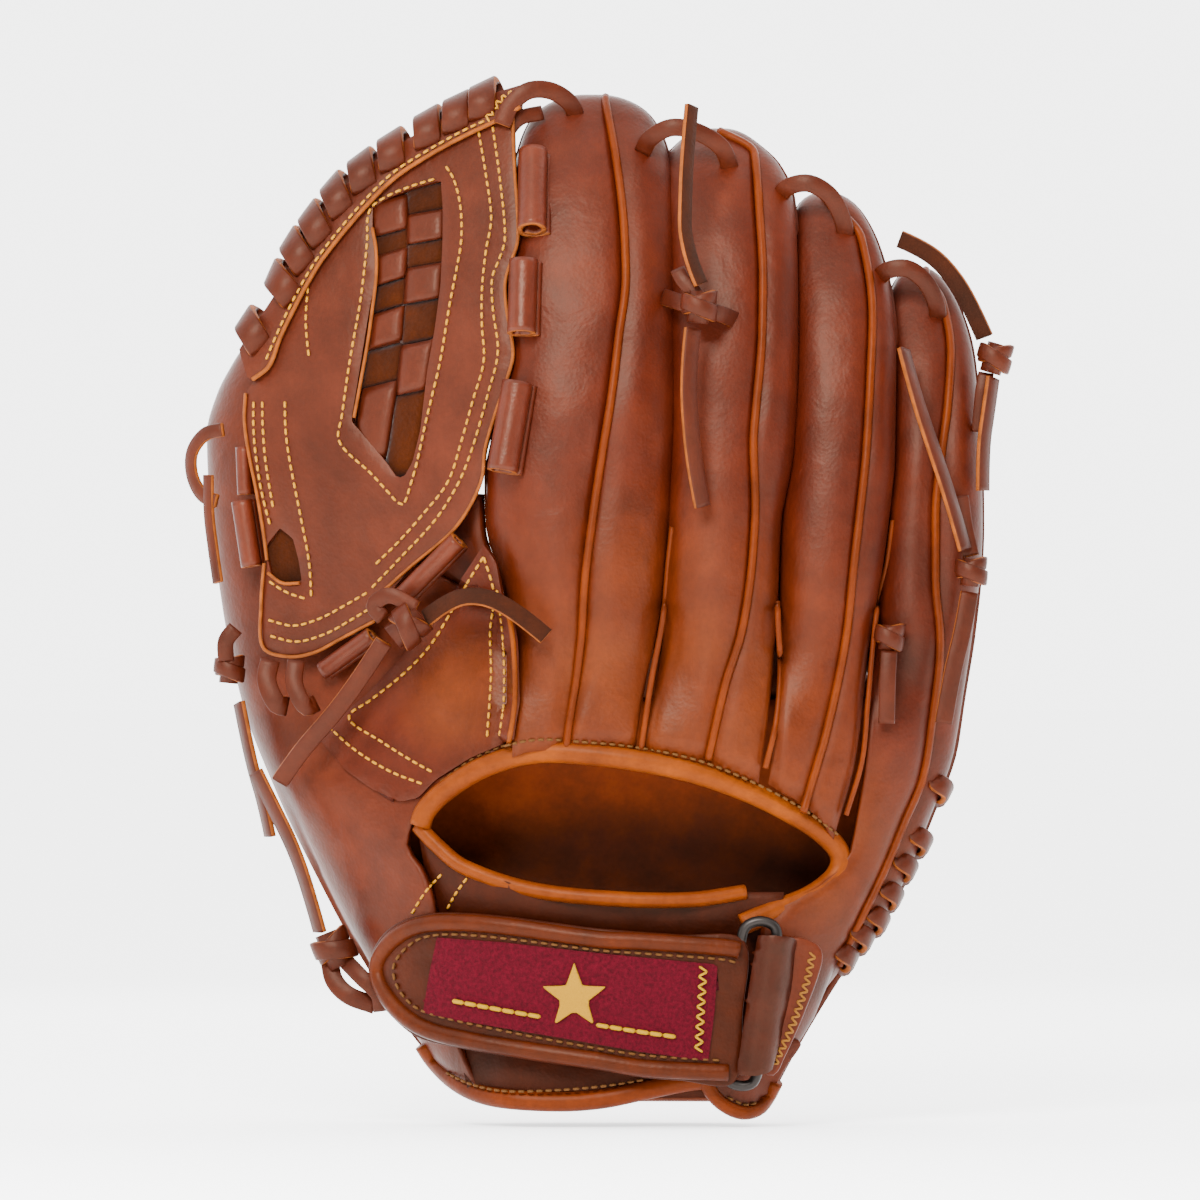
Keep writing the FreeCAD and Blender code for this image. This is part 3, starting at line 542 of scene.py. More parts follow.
def finger_back(name, table, welt, outer, material, low=None, rows=76, columns=17):
    """One back panel of a finger, from the opening's rim or a given height to the tip."""
    tip = table[-1][0]
    lows = []
    for column in range(columns):
        part = column / (columns - 1)
        height = 20.0
        if low is None:
            for _ in range(5):
                height = rim_height(back_point(table, welt, outer, part, height, seam=False)[0]) - 0.5
        else:
            height = low
        lows.append(height)
    grid = []
    for line in range(rows):
        up = math.sin(line / (rows - 1) * math.pi / 2) ** 0.9
        points = []
        for column in range(columns):
            z = lows[column] + (tip - lows[column]) * up
            points.append(back_point(table, welt, outer, column / (columns - 1), z))
        grid.append(points)
    return sheet_object(name, grid, material, 2.2)


def front_point(table, part, z, low_left, low_right):
    """Palm side of a finger or of the palm below it; part 0 is the thumb-side edge."""
    tip = table[-1][0]
    row = row_of(table, max(z, table[0][0]), tip)
    row[0] = z
    angle = 180 - 180 * part
    finger = section(row, angle, FINGER_POWER)
    share = smooth_step(z, 30.0, 82.0)
    if share < 1:
        left = row[1] * share + low_left * (1 - share)
        right = row[2] * share + low_right * (1 - share)
        x = left + (right - left) * (0.5 - 0.5 * math.cos(math.pi * part)) * 0.5 + (right - left) * part * 0.5
        hand = hand_point(z, x, 1)
        finger = hand * (1 - share) + finger * share
    finger[1] += crumple(finger, 24.0, 0.9, 9.0)
    return finger


POCKET_TOP = 101.0
PALM_SPLITS = {-84: (-33, -11, 11, 29, 46), 0: (-34, -2, 33, 66, 95.5), 60: (-34, 11, 47, 78, 108)}


def palm_splits(z):
    """Edges between the finger channels on the palm at a height."""
    heights = sorted(PALM_SPLITS)
    z = min(max(z, heights[0]), heights[-1])
    for low, high in zip(heights, heights[1:]):
        if z <= high:
            part = (z - low) / (high - low)
            return [a + (b - a) * part for a, b in zip(PALM_SPLITS[low], PALM_SPLITS[high])]
    return PALM_SPLITS[heights[-1]]


def palm_shell():
    """Palm leather with the fronts of the four fingers, one hide."""
    parts = []
    for place, table in enumerate((INDEX, MIDDLE, RING, PINKY)):
        tip = table[-1][0]
        heights = [-84 + 144 * step / 40 for step in range(40)]
        heights += [60 + (tip - 60) * math.sin(step / 50 * math.pi / 2) for step in range(51)]
        grid = []
        for z in heights:
            splits = palm_splits(z)
            splits[-1] = row_of(HAND, min(HAND_TOP_Z, max(HEEL_Z, z)))[2]
            grid.append([front_point(table, column / 18, z, splits[place], splits[place + 1])
                         for column in range(19)])
        parts.append(sheet_object("palm_part", grid, shell_leather, 0, flip=True))
    shell = join("palm_shell", parts)
    weld(shell, 1.5)
    thicken(shell, PALM_THICKNESS)
    return shell


def weld(piece, distance):
    """Join vertices that nearly meet."""
    clean = bmesh.new()
    clean.from_mesh(piece.data)
    bmesh.ops.remove_doubles(clean, verts=clean.verts, dist=distance * MM)
    clean.to_mesh(piece.data)
    clean.free()
    piece.data.polygons.foreach_set("use_smooth", [True] * len(piece.data.polygons))


# ---------------------------------------------------------------- thumb side

SIDE_EDGE = [(-84, -42), (-66, -50), (-43, -55), (-25, -57), (-15, -60), (-6, -65.5), (0, -64),
             (9, -56), (15, -48), (20, -39), (26, -35.5), (60, -35), (80, -38), (96, -50)]


def side_point(part, z):
    """Back leather of the thumb side, from its outline (0) to the opening or the index finger (1)."""
    tip = THUMB[-1][0]
    row = row_of(THUMB, z, tip)
    tube_share = smooth_step(z, 62, 92)
    right = row_of(SIDE_EDGE, min(96, z))[1]
    low_angle = -180 + 90 * min(1.0, part / 0.45)
    tube = section(row, -180 + 180 * part, FINGER_POWER)
    if part <= 0.45:
        flat = section(row, low_angle, FINGER_POWER)
    else:
        beyond = (part - 0.45) / 0.55
        middle = section(row, -90, FINGER_POWER)
        flat = np.array((middle[0] + (right - middle[0]) * beyond, middle[1] - 1.5 * beyond, z))
    point = flat * (1 - tube_share) + tube * tube_share
    if part > 0.45 and z > 40:
        point[1] = min(point[1], 20 * smooth_step(z, 80, 98) - 14)
    hand_share = 1 - smooth_step(z, -20, 22)
    if hand_share > 0:
        left = row[1]
        x = left + (right - left) * (1 - math.cos(part * math.pi / 2)) ** 0.9
        hand_row = row_of(HAND, min(HAND_TOP_Z, max(HEEL_Z, z)))
        y = section(hand_row, angle_at(hand_row, x, HAND_POWER), HAND_POWER)[1]
        point = point * (1 - hand_share) + np.array((x, y, z)) * hand_share
    point[1] += fold(point[0]) + crumple(point, 21.0, 1.0, 2.0) + crumple(point, 7.0, 0.2, 5.0)
    return point


def thumb_side():
    """Back leather of the thumb and the thumb side of the heel."""
    grid = []
    rows = 90
    for line in range(rows):
        up = line / (rows - 1)
        z = -84 + (THUMB[-1][0] + 84) * (1 - (1 - up) ** 1.5)
        grid.append([side_point(column / 30, z) for column in range(31)])
    return sheet_object("thumb_side_leather", grid, thumb_leather_painted_highlight, HIDE_THICKNESS)


def pocket_point(part, z):
    """Palm-side leather from the fold line (0) across the pocket to the thumb's outer edge (1)."""
    tip = THUMB[-1][0]
    row = row_of(THUMB, z, tip)
    splits = palm_splits(z)
    edge = front_point(INDEX, 0.0, z, splits[0], splits[1])
    thumb = section(row, 180 * max(0.0, part - 0.42) / 0.58, FINGER_POWER)
    thumb[1] += fold(thumb[0])
    if part < 0.42:
        across = part / 0.42
        inner = section(row, 0, FINGER_POWER)
        inner[1] += fold(inner[0]) + 2.0
        sag = 2.0 * math.sin(across * math.pi)
        thumb = edge * (1 - across) + inner * across - np.array((0, sag, 0))
    hand_share = 1 - smooth_step(z, -6, 46)
    if hand_share > 0:
        left = row_of(HAND, min(HAND_TOP_Z, max(HEEL_Z, z)))[1]
        x = edge[0] + (left - edge[0]) * math.sin(part * math.pi / 2) ** 1.15
        thumb = thumb * (1 - hand_share) + hand_point(z, x, 1) * hand_share
    thumb[1] += crumple(thumb, 24.0, 0.9, 9.0) * min(1.0, part * 4)
    thumb[1] += 2.2 * math.exp(-((thumb[0] + 68) / 16) ** 2 - ((z - 24) / 18) ** 2)
    return thumb


def thumb_front():
    """Palm-side leather of the thumb half, with the pocket's leather up to a straight top edge."""
    pieces = []
    for first, last, top, columns in ((0.42, 1.0, THUMB[-1][0], 25), (0.0, 0.42, POCKET_TOP, 13)):
        heights = [-84 + (POCKET_TOP + 84) * step / 70 for step in range(71)]
        if top > POCKET_TOP:
            heights += [POCKET_TOP + (top - POCKET_TOP) * math.sin(step / 24 * math.pi / 2) for step in range(1, 25)]
        grid = [[pocket_point(first + (last - first) * column / (columns - 1),
                              z) for column in range(columns)]
                for z in heights]
        pieces.append(sheet_object("thumb_half", grid, shell_leather, 0))
    piece = join("thumb_palm_leather", pieces)
    weld(piece, 0.6)
    thicken(piece, PALM_THICKNESS)
    return piece


base_pieces = {}
for finger_name, finger_table, finger_welt in (("index", INDEX, INDEX_WELT),
        ("middle", MIDDLE, MIDDLE_WELT),
                                               ("ring", RING, RING_WELT), ("pinky", PINKY, PINKY_WELT)):
    hide = pinky_leather if finger_name == "pinky" else shell_leather
    bottom = -80.0 if finger_name == "pinky" else None
    for side_name, is_outer in (("inner", False), ("outer", True)):
        full_name = finger_name + "_back_" + side_name
        base_pieces[full_name] = finger_back(full_name + "_leather", finger_table, finger_welt, is_outer,
                hide, bottom)
palm_piece = palm_shell()
side_piece = thumb_side()
front_piece = thumb_front()

for full_name, piece in base_pieces.items():
    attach(piece, HAND_BODY)
    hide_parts(full_name)
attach(palm_piece, HAND_BODY)
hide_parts("palm_leather", "index_front", "middle_front", "ring_front", "pinky_front")


# ---------------------------------------------------------------- helpers for details

def spline(points, spacing=1.5, closed=False):
    """Smooth line through the points, with a point about every spacing."""
    points = [np.array(point, float) for point in points]
    count = len(points)
    result = []
    spans = count if closed else count - 1
    for place in range(spans):
        start, end = points[place], points[(place + 1) % count]
        before = points[place - 1] if place > 0 or closed else 2 * start - end
        after = points[(place + 2) % count] if place < count - 2 or closed else 2 * end - start
        length = np.linalg.norm(end - start)
        lead = (end - before) * length / (length + max(1e-6, np.linalg.norm(start - before)))
        trail = (after - start) * length / (length + max(1e-6, np.linalg.norm(after - end)))
        steps = max(2, int(math.ceil(length / spacing)))
        for step in range(steps):
            t = step / steps
            result.append((2 * t**3 - 3 * t**2 + 1) * start + (t**3 - 2 * t**2 + t) * lead
                          + (-2 * t**3 + 3 * t**2) * end + (t**3 - t**2) * trail)
    if not closed:
        result.append(points[-1])
    return result


def even_line(points, spacing):
    """The same line with points evenly spaced."""
    points = np.array(points, float)
    lengths = np.concatenate(([0], np.cumsum(np.linalg.norm(np.diff(points, axis=0), axis=1))))
    count = max(2, int(round(lengths[-1] / spacing)) + 1)
    places = np.linspace(0, lengths[-1], count)
    return np.stack([np.interp(places, lengths, points[:, axis]) for axis in range(points.shape[1])],
                    axis=1)


def inside(point, outline):
    """Whether a flat point lies in an outline."""
    x, z = point
    found = False
    for place in range(len(outline)):
        (x1, z1), (x2, z2) = outline[place][:2], outline[place - 1][:2]
        if (z1 > z) != (z2 > z) and x < (x2 - x1) * (z - z1) / (z2 - z1) + x1:
            found = not found
    return found


def edge_distance(point, outline):
    """Distance from a flat point to the nearest edge of an outline."""
    loop = np.array(outline)
    ends = np.roll(loop, -1, axis=0)
    span = ends - loop
    share = np.clip(((point - loop) * span).sum(1) / np.maximum(1e-9, (span * span).sum(1)), 0, 1)
    return np.linalg.norm(loop + span * share[:, None] - point, axis=1).min()


def panel(name, outline, depth, thickness, material, holes=(), spacing=3.0, puff=0.0, puff_width=4.0,
          rounded=True):
    """Leather cut to an outline (x, z) and laid at depth(x, z); puff makes it rise away from its edges."""
    loops = [even_line(spline(loop, 1.5, True) + [np.array(loop[0], float)], 1.8)[:-1] if rounded
             else even_line(list(loop) + [loop[0]], 1.8)[:-1] for loop in (outline, *holes)]
    points, edges = [], []
    for loop in loops:
        first = len(points)
        points += [Vector(point) for point in loop]
        edges += [(first + place, first + (place + 1) % len(loop)) for place in range(len(loop))]
    low, high = loops[0].min(0), loops[0].max(0)
    x = low[0]
    while x < high[0]:
        z = low[1]
        while z < high[1]:
            spot = np.array((x, z))
            if inside(spot, loops[0]) and not any(inside(spot, hole) for hole in loops[1:]):
                if min(edge_distance(spot, loop) for loop in loops) > spacing * 0.45:
                    points.append(Vector((x, z)))
            z += spacing
        x += spacing
    flat, _, faces, _, _, _ = delaunay_2d_cdt(points, edges, [], 0, 1e-4)
    kept = []
    for face in faces:
        middle = sum((flat[corner] for corner in face), Vector((0, 0))) / len(face)
        if inside(middle, loops[0]) and not any(inside(middle, hole) for hole in loops[1:]):
            kept.append(tuple(face))
    vertices = []
    for spot in flat:
        rise = 0.0
        if puff:
            gap = min(edge_distance(np.array(spot), loop) for loop in loops)
            rise = puff * smooth_step(gap, 0.0, puff_width)
        vertices.append((spot.x, depth(spot.x, spot.y) - rise + crumple((spot.x, 0, spot.y), 9.0, 0.25,
                7.0), spot.y))
    piece = new_object(name, vertices, kept, material)
    turned = [face for face in piece.data.polygons if face.normal.y > 0]
    if len(turned) > len(piece.data.polygons) / 2:
        piece.data.flip_normals()
    else:
        mesh = bmesh.new()
        mesh.from_mesh(piece.data)
        bmesh.ops.recalc_face_normals(mesh, faces=mesh.faces)
        mesh.to_mesh(piece.data)
        mesh.free()
        if sum(face.normal.y for face in piece.data.polygons) > 0:
            piece.data.flip_normals()
    thicken(piece, thickness)
    round_edges(piece, min(0.7, thickness * 0.35))
    return piece


def round_edges(piece, width):
    """Soften the cut edges."""
    modifier = piece.modifiers.new("edge", "BEVEL")
    modifier.width = width * MM
    modifier.segments = 2
    modifier.limit_method = "ANGLE"
    modifier.angle_limit = math.radians(50)
    apply_modifiers(piece)


def sweep(name, path, profile, material, facing, closed=False, second=None, edge_share=()):
    """A profile (side, out) carried along a path. facing is the outward direction, or one for each point."""
    path = np.array(path, float)
    count = len(path)
    sides = len(profile)
    vertices = []
    for place in range(count):
        ahead = path[(place + 1) % count] if closed or place < count - 1 else path[place]
        behind = path[place - 1] if closed or place > 0 else path[place]
        along = ahead - behind
        along /= max(1e-9, np.linalg.norm(along))
        outward = np.array(facing[place] if len(np.shape(facing)) > 1 else facing, float)
        outward = outward - along * outward.dot(along)
        outward /= max(1e-9, np.linalg.norm(outward))
        side = np.cross(outward, along)
        for across, out in profile:
            vertices.append(path[place] + side * across + outward * out)
    faces = grid_faces(count + (1 if closed else 0), sides, False, True)
    if closed:
        faces = [tuple(corner % (count * sides) for corner in face) for face in faces]
    else:
        faces.append(tuple(range(sides))[::-1])
        faces.append(tuple(range((count - 1) * sides, count * sides)))
    piece = new_object(name, vertices, faces, material)
    if second is not None:
        piece.data.materials.append(second)
        for place, face in enumerate(piece.data.polygons):
            if place % sides in edge_share or place >= count * sides - sides:
                face.material_index = 1
    mesh = bmesh.new()
    mesh.from_mesh(piece.data)
    bmesh.ops.recalc_face_normals(mesh, faces=mesh.faces)
    mesh.to_mesh(piece.data)
    mesh.free()
    return piece


def round_profile(width, height, sides=10):
    return [(width * math.cos(2 * math.pi * place / sides), height * math.sin(2 * math.pi * place / sides))
            for place in range(sides)]


def lace_profile(width, thickness):
    """Flat lace with soft corners; faces 2 and 7 of its ten are the cut edges."""
    half, thin, soft = width / 2, thickness / 2, 0.35
    return [(half - soft, -thin), (half, -thin + soft), (half, thin - soft), (half - soft, thin),
            (0, thin * 1.08),
            (-half + soft, thin), (-half, thin - soft), (-half, -thin + soft), (-half + soft, -thin), (0,
                    -thin)]


def lace(name, points, width=5.4, thickness=LACE_THICKNESS, facing=(0, -1, 0), closed=False):
    """A rawhide lace through the points. facing may be one direction or one per given point."""
    points = [np.array(point, float) for point in points]
    if len(np.shape(facing)) > 1:
        mixed = [np.concatenate((point, 0.001 * np.array(side, float))) for point,
                 side in zip(points, facing)]
        line = even_line(spline(mixed, 0.6, closed) + ([mixed[0]] if closed else []), LACE_STEP)
        path, sides = line[:, :3], line[:, 3:] * 1000
    else:
        line = even_line(spline(points, 0.6, closed) + ([points[0]] if closed else []), LACE_STEP)
        path, sides = line, np.array([facing] * len(line), float)
    if closed:
        path, sides = path[:-1], sides[:-1]
    return sweep(name, path, lace_profile(width, thickness), lace_leather, sides, closed, cut_edge,
                 edge_share=(1, 6))


def ray_depth(tree, x, z, miss=0.0):
    """Where a line of sight along +Y first meets the surface, in millimetres."""
    hit = tree.ray_cast(Vector((x * MM, -0.3, z * MM)), Vector((0, 1, 0)))
    return hit[0].y / MM if hit[0] is not None else miss


def tree_of(pieces):
    """Search tree of several pieces together."""
    vertices, faces = [], []
    for piece in pieces:
        first = len(vertices)
        vertices += [vertex.co.copy() for vertex in piece.data.vertices]
        faces += [tuple(first + corner for corner in face.vertices) for face in piece.data.polygons]
    return BVHTree.FromPolygons(vertices, faces)


def drape(points, depth, lift=0.0, spacing=1.5, closed=False):
    """Lay a flat line (x, z) on a surface."""
    line = even_line(spline(points, 1.0, closed) + ([np.array(points[0], float)] if closed else []),
                     spacing)
    return [np.array((x, depth(x, z) - lift, z)) for x, z in line]


def stitch_row(points, depth, lift=0.25, length=2.05, gap=0.75, radius=THREAD_RADIUS):
    """Short thread dashes along a line, as vertices and faces."""
    path = even_line(drape(points, depth, lift, 0.8), 0.4)
    lengths = np.concatenate(([0], np.cumsum(np.linalg.norm(np.diff(path, axis=0), axis=1))))
    vertices, faces = [], []
    start = 0.0
    while start + length < lengths[-1]:
        ends = [np.array([np.interp(start + shift, lengths, path[:, axis]) for axis in range(3)])
                for shift in (0, length * 0.5, length)]
        add_dash(vertices, faces, ends, radius)
        start += length + gap
    return vertices, faces


def add_dash(vertices, faces, ends, radius):
    """One stitch: sinks at both ends, rises in the middle."""
    along = ends[2] - ends[0]
    along /= max(1e-9, np.linalg.norm(along))
    outward = np.array((0.0, -1.0, 0.0))
    outward -= along * outward.dot(along)
    outward /= max(1e-9, np.linalg.norm(outward))
    side = np.cross(outward, along)
    first = len(vertices)
    for place, (share, sink) in enumerate(((0.0, 0.45), (0.16, 0.0), (0.5, -0.12), (0.84, 0.0),
            (1.0, 0.45))):
        centre = ends[0] + (ends[2] - ends[0]) * share
        size = radius * (0.45 if place in (0, 4) else 1.0)
        for turn in range(6):
            angle = math.pi * turn / 3
            vertices.append(centre - outward * sink + side * size * math.cos(angle) + outward * size * math.sin(angle))
    for ring in range(4):
        for turn in range(6):
            beside = (turn + 1) % 6
            faces.append((first + ring * 6 + turn, first + ring * 6 + beside,
                          first + (ring + 1) * 6 + beside, first + (ring + 1) * 6 + turn))
    faces.append(tuple(first + turn for turn in range(6))[::-1])
    faces.append(tuple(first + 24 + turn for turn in range(6)))


def stitches(name, rows, depth, material=None, **style):
    """One piece for several rows of stitching."""
    vertices, faces = [], []
    for row in rows:
        more, shapes = stitch_row(row, depth, **style)
        first = len(vertices)
        vertices += more
        faces += [tuple(first + corner for corner in shape) for shape in shapes]
    return new_object(name, vertices, faces, material or thread)


def zigzag(points, width, pitch):
    """Zigzag line about a centre line (x, z)."""
    line = even_line(spline(points, 1.0), pitch)
    result = []
    for place in range(len(line)):
        ahead = line[min(place + 1, len(line) - 1)] - line[max(0, place - 1)]
        ahead /= max(1e-9, np.linalg.norm(ahead))
        side = np.array((-ahead[1], ahead[0]))
        result.append(line[place] + side * width / 2 * (1 if place % 2 else -1))
    return result


def zigzag_piece(name, points, width, pitch, depth, material, lift=0.3):
    """A row of zigzag stitching."""
    corners = zigzag(points, width, pitch)
    vertices, faces = [], []
    for start, end in zip(corners, corners[1:]):
        ends = [np.array((x, depth(x, z) - lift, z)) for x, z in (start, (start + end) / 2, end)]
        add_dash(vertices, faces, ends, 0.38)
    return new_object(name, vertices, faces, material)


def pillow(name, corners, depth, rise, material, bow=(0.0, 1.0), steps=9):
    """Four-cornered piece of leather strip; bow gives how much it dives at its (sides, ends)."""
    grid = []
    corners = [np.array(corner, float) for corner in corners]
    for row in range(steps):
        v = row / (steps - 1)
        line = []
        for column in range(steps):
            u = column / (steps - 1)
            spot = (corners[0] * (1 - u) + corners[1] * u) * (1 - v) + (corners[3] * (1 - u) + corners[2] * u) * v
            drop = bow[0] * (2 * u - 1) ** 4 + bow[1] * (2 * v - 1) ** 4
            edge = 0.7 * max(abs(2 * u - 1), abs(2 * v - 1)) ** 12
            line.append(np.array((spot[0], depth(spot[0], spot[1]) - rise + drop + edge, spot[1])))
        grid.append(line)
    piece = sheet_object(name, grid, material, 0)
    if sum(face.normal.y for face in piece.data.polygons) > 0:
        piece.data.flip_normals()
    thicken(piece, 1.8)
    return piece


def plain_material(name, colour, roughness, metallic=0.0, bump=0.0, scale=600.0, vary=0.0):
    """Single-colour material with optional relief and unevenness."""
    material, nodes, links, shader = new_material(name)
    shader.inputs["Base Color"].default_value = (*colour, 1)
    shader.inputs["Roughness"].default_value = roughness
    shader.inputs["Metallic"].default_value = metallic
    shader.inputs["Specular IOR Level"].default_value = 0.5 if metallic else 0.12
    if bump or vary:
        place = nodes.new("ShaderNodeTexCoord")
        grain = noise_node(nodes, links, place, Scale=scale, Detail=5.0)
        if bump:
            relief = bump_node(nodes, links, grain.outputs["Fac"], bump, 0.0006)
            links.new(relief.outputs["Normal"], shader.inputs["Normal"])
        if vary:
            pale = [min(1.0, part * (1 + vary)) for part in colour]
            stops = ((0.3, [part * (1 - vary) for part in colour]), (0.7, pale))
            ramp = colour_ramp(nodes, links, grain.outputs["Fac"], stops)
            links.new(ramp.outputs["Color"], shader.inputs["Base Color"])
    return material


dull_thread = plain_material("dull_thread", (0.17, 0.065, 0.008), 0.7)
dark_thread = plain_material("dark_thread", (0.08, 0.03, 0.006), 0.7)
yellow_thread = plain_material("yellow_thread", (0.30, 0.155, 0.0), 0.6)
cut_edge = plain_material("cut_edge", (0.17, 0.040, 0.004), 0.7, vary=0.3, scale=300.0)
thread = plain_material("thread", (0.37, 0.155, 0.008), 0.65)
embroidery = plain_material("embroidery", (0.29, 0.14, 0.0), 0.6, bump=0.6, scale=1500.0)
patch_suede = plain_material("patch_suede", (0.050, 0.0005, 0.0042), 0.95, bump=0.9, scale=900.0, vary=0.35)
ring_metal = plain_material("ring_metal", (0.022, 0.018, 0.016), 0.38, metallic=0.85)
pad_felt = plain_material("pad_felt", (0.75, 0.72, 0.64), 0.95, bump=0.5)
stiffener_plastic = plain_material("stiffener_plastic", (0.85, 0.84, 0.80), 0.5)
hook_and_loop = plain_material("hook_and_loop", (0.02, 0.02, 0.02), 0.95, bump=1.0, scale=1200.0)

for node_name, node_material in (("palm_pads", pad_felt), ("finger_linings", lining_leather),
                                 ("thumb_lining", lining_leather),
                                 ("thumb_stiffener", stiffener_plastic), ("strap_loop_pad", hook_and_loop),
                                 ("strap_hook_pad", hook_and_loop), ("palm_lining", lining_leather),
                                 ("wrist_lining", lining_leather), ("strap_base", shell_leather)):
    for shown in bpy.context.scene.objects:
        if shown.get("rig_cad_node") == node_name:
            for material_slot in shown.material_slots:
                material_slot.material = node_material

# ---------------------------------------------------------------- hand details

hide_pieces = list(base_pieces.values()) + [side_piece]
hide_tree = tree_of(hide_pieces)


def hide_depth(x, z):
    return ray_depth(hide_tree, x, z, hand_point(z, max(-95, min(90, x)), -1)[1])


def ride(piece, body, *nodes, slot=None):
    """Fasten a piece to a body and hide the CAD nodes it stands for."""
    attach(piece, body)
    if nodes:
        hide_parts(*nodes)
    return piece


def bend(piece, *nodes, slot=None):
    """Bake the placement of a piece that crosses the thumb crease into its mesh and hide the CAD nodes it stands for;
    it is fastened to no body.
    """
    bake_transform(piece)
    if nodes:
        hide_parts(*nodes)
    return piece


def rim_depth(x):
    """Depth of the opening's edge."""
    return -30.5 + 0.0034 * (x - 4) ** 2


welts = []
for table, line, low in ((INDEX, INDEX_WELT, None), (MIDDLE, MIDDLE_WELT, None), (RING, RING_WELT, None),
                         (PINKY, PINKY_WELT, -43)):
    top = table[-1][0] - 1.0
    bottom = rim_height(row_of(line, 15)[1]) if low is None else low
    spots = []
    for step in range(60):
        z = bottom + (top - bottom) * math.sin(step / 59 * math.pi / 2)
        x = row_of(line, z)[1]
        row = row_of(table, z, table[-1][0])
        x = min(max(x, row[1] + 0.3), row[2] - 0.3)
        spots.append(np.array((x, hide_depth(x, z) - 0.5, z)))
    welts.append(sweep("welt", even_line(spots, 1.6), round_profile(1.3, 1.5, 8), welt_leather, (0, -1, 0)))
for spots, size in (([(15.9, 90.9), (14.6, 79), (13.1, 63.4), (9.5, 43.9), (6.4, 23.5)], 0.9),
                    ([(47.9, 68.3), (48.2, 59.5), (48.8, 47.9), (47.6, 32.3), (44.2, 17.4)], 0.9),
                    ([(83.3, 93), (81.7, 80.8), (78.4, 65.6), (75.6, 38.1), (73.8, 19.8), (68.9, 3)], 0.8)):
    welts.append(sweep("welt", drape(spots, hide_depth, 0.1), round_profile(size, size, 8), welt_leather,
                       (0, -1, 0)))
ride(join("finger_welt_strips", welts), HAND_BODY, "finger_welts", slot="binding_leather")

top_binding = [(-61, -0.3), (-59.5, 4), (-54, 9.8), (-42.1, 17.4), (-26.8, 22), (-10.1, 21.7), (6.7, 19.5),
               (23.2, 15.9), (40, 9.8), (53.4, 3), (61.6, -2.4), (66.5, -7.6), (67.4, -11.9), (64.7, -16.8),
               (57.3, -22), (47.3, -25.9), (37.2, -30.2)]
lip_binding = [(-61.6, -0.3), (-56.1, -6.1), (-47.6, -12.8), (-27.4, -19.5), (-1.8, -22.3), (21.3, -22.6),
               (38.1, -20.4)]
binding_path = drape(top_binding, lambda x, z: rim_depth(x) - 1.0)
lip_path = drape(lip_binding, lambda x, z: rim_depth(x) + 0.5)
rolls = [sweep("roll", binding_path, round_profile(3.3, 2.9, 14), binding_leather, (0, -1, 0)),
         sweep("roll", lip_path, round_profile(2.4, 2.6, 12), binding_leather, (0, -1, 0))]
ride(join("opening_roll", rolls), HAND_BODY, "opening_binding", slot="binding_leather")

above_binding = [(-54.9, 13.1), (-43.3, 21), (-27.4, 25.9), (-10.1, 25.3), (6.7, 23.5), (23.8, 19.8),
                 (40.6, 13.1), (55.8, 4.9), (66.5, -3)]
ride(stitches("binding_stitches", [above_binding], lambda x, z: min(hide_depth(x, z), rim_depth(x) + 1.5),
              dark_thread, lift=0.3), HAND_BODY)

# Palm lining, seen through the opening
grid = []
for step in range(34):
    z = -70 + 108 * step / 33
    row = row_of(HAND, min(HAND_TOP_Z, max(HEEL_Z, z)))
    row[0] = z
    line = []
    for column in range(41):
        point = section(row, 175 - 170 * column / 40, HAND_POWER, 7.0)
        point[1] += fold(point[0]) + crumple(point, 14.0, 1.0, 3.0)
        point[1] -= 9.0 * smooth_step(z, -8, 36) * smooth_step(-point[0], 26, 40)
        line.append(point)
    grid.append(line)
ride(sheet_object("palm_lining_leather", grid, lining_leather, 1.2), HAND_BODY, "palm_lining", "palm_pads",
     slot="lining_leather")


def lip_height(x):
    line = sorted(lip_binding)
    return float(np.interp(x, [point[0] for point in line], [point[1] for point in line]))


grid = []
for step in range(26):
    line = []
    for column in range(41):
        x_share = column / 40
        low = -83.0
        x_low = -46 + 88 * x_share
        x_high = -62 + 112 * x_share
        up = step / 25
        x = x_low + (x_high - x_low) * up
        z = low + (lip_height(x) - low) * up
        point = hand_point(z, x, -1, 2.2)
        point[1] = min(point[1], rim_depth(x) + 4) + crumple(point, 11.0, 0.6,
                8.0) + 3.5 * smooth_step(1 - up, 0.05, 0.3) * smooth_step(up, 0.08, 0.35)
        line.append(point)
    grid.append(line)
# The band's dark leather carries painted shade for its recess.
ride(sheet_object("wrist_band_leather", grid, wrist_leather_painted_shade, 2.4), HAND_BODY, "wrist_band", "wrist_lining",
     slot="shell_leather")

heel_line = [(-60.1, -67.4), (-56.7, -72.6), (-51.2, -77.8), (-44.5, -81.4), (-36, -83.3), (-18.3, -84.2),
             (-5.5, -83.3), (6.7, -80.8), (20.1, -78.1), (28.1, -77.2)]
heel_roll = sweep("heel_roll", drape(heel_line, lambda x, z: hand_point(z, x, -1)[1] + 1.0),
                  round_profile(3.0, 2.6, 12), welt_leather, (0, -1, 0))
lobe_line = [(25.6, -74.1), (26.8, -79.6), (30.8, -84.5), (36.9, -87.5), (42.1, -86.6), (45.1, -83.3),
             (47.6, -78.4)]
lobe_roll = sweep("lobe_roll", drape(lobe_line, lambda x, z: hand_point(max(-84, z), min(46, x),
        -1)[1] - 0.5), round_profile(2.2, 2.2, 10), welt_leather, (0, -1, 0))
palm_roll_line = [np.array((x, hand_point(-83, x, 1)[1] - 1.0, -83.0)) for x in np.arange(-43, 43, 2.0)]
palm_roll = sweep("palm_roll", palm_roll_line, round_profile(2.6, 2.8, 12), welt_leather, (0, 1, 0))
ride(join("heel_roll_strip", [heel_roll, lobe_roll, palm_roll]), HAND_BODY, "heel_binding",
     slot="binding_leather")
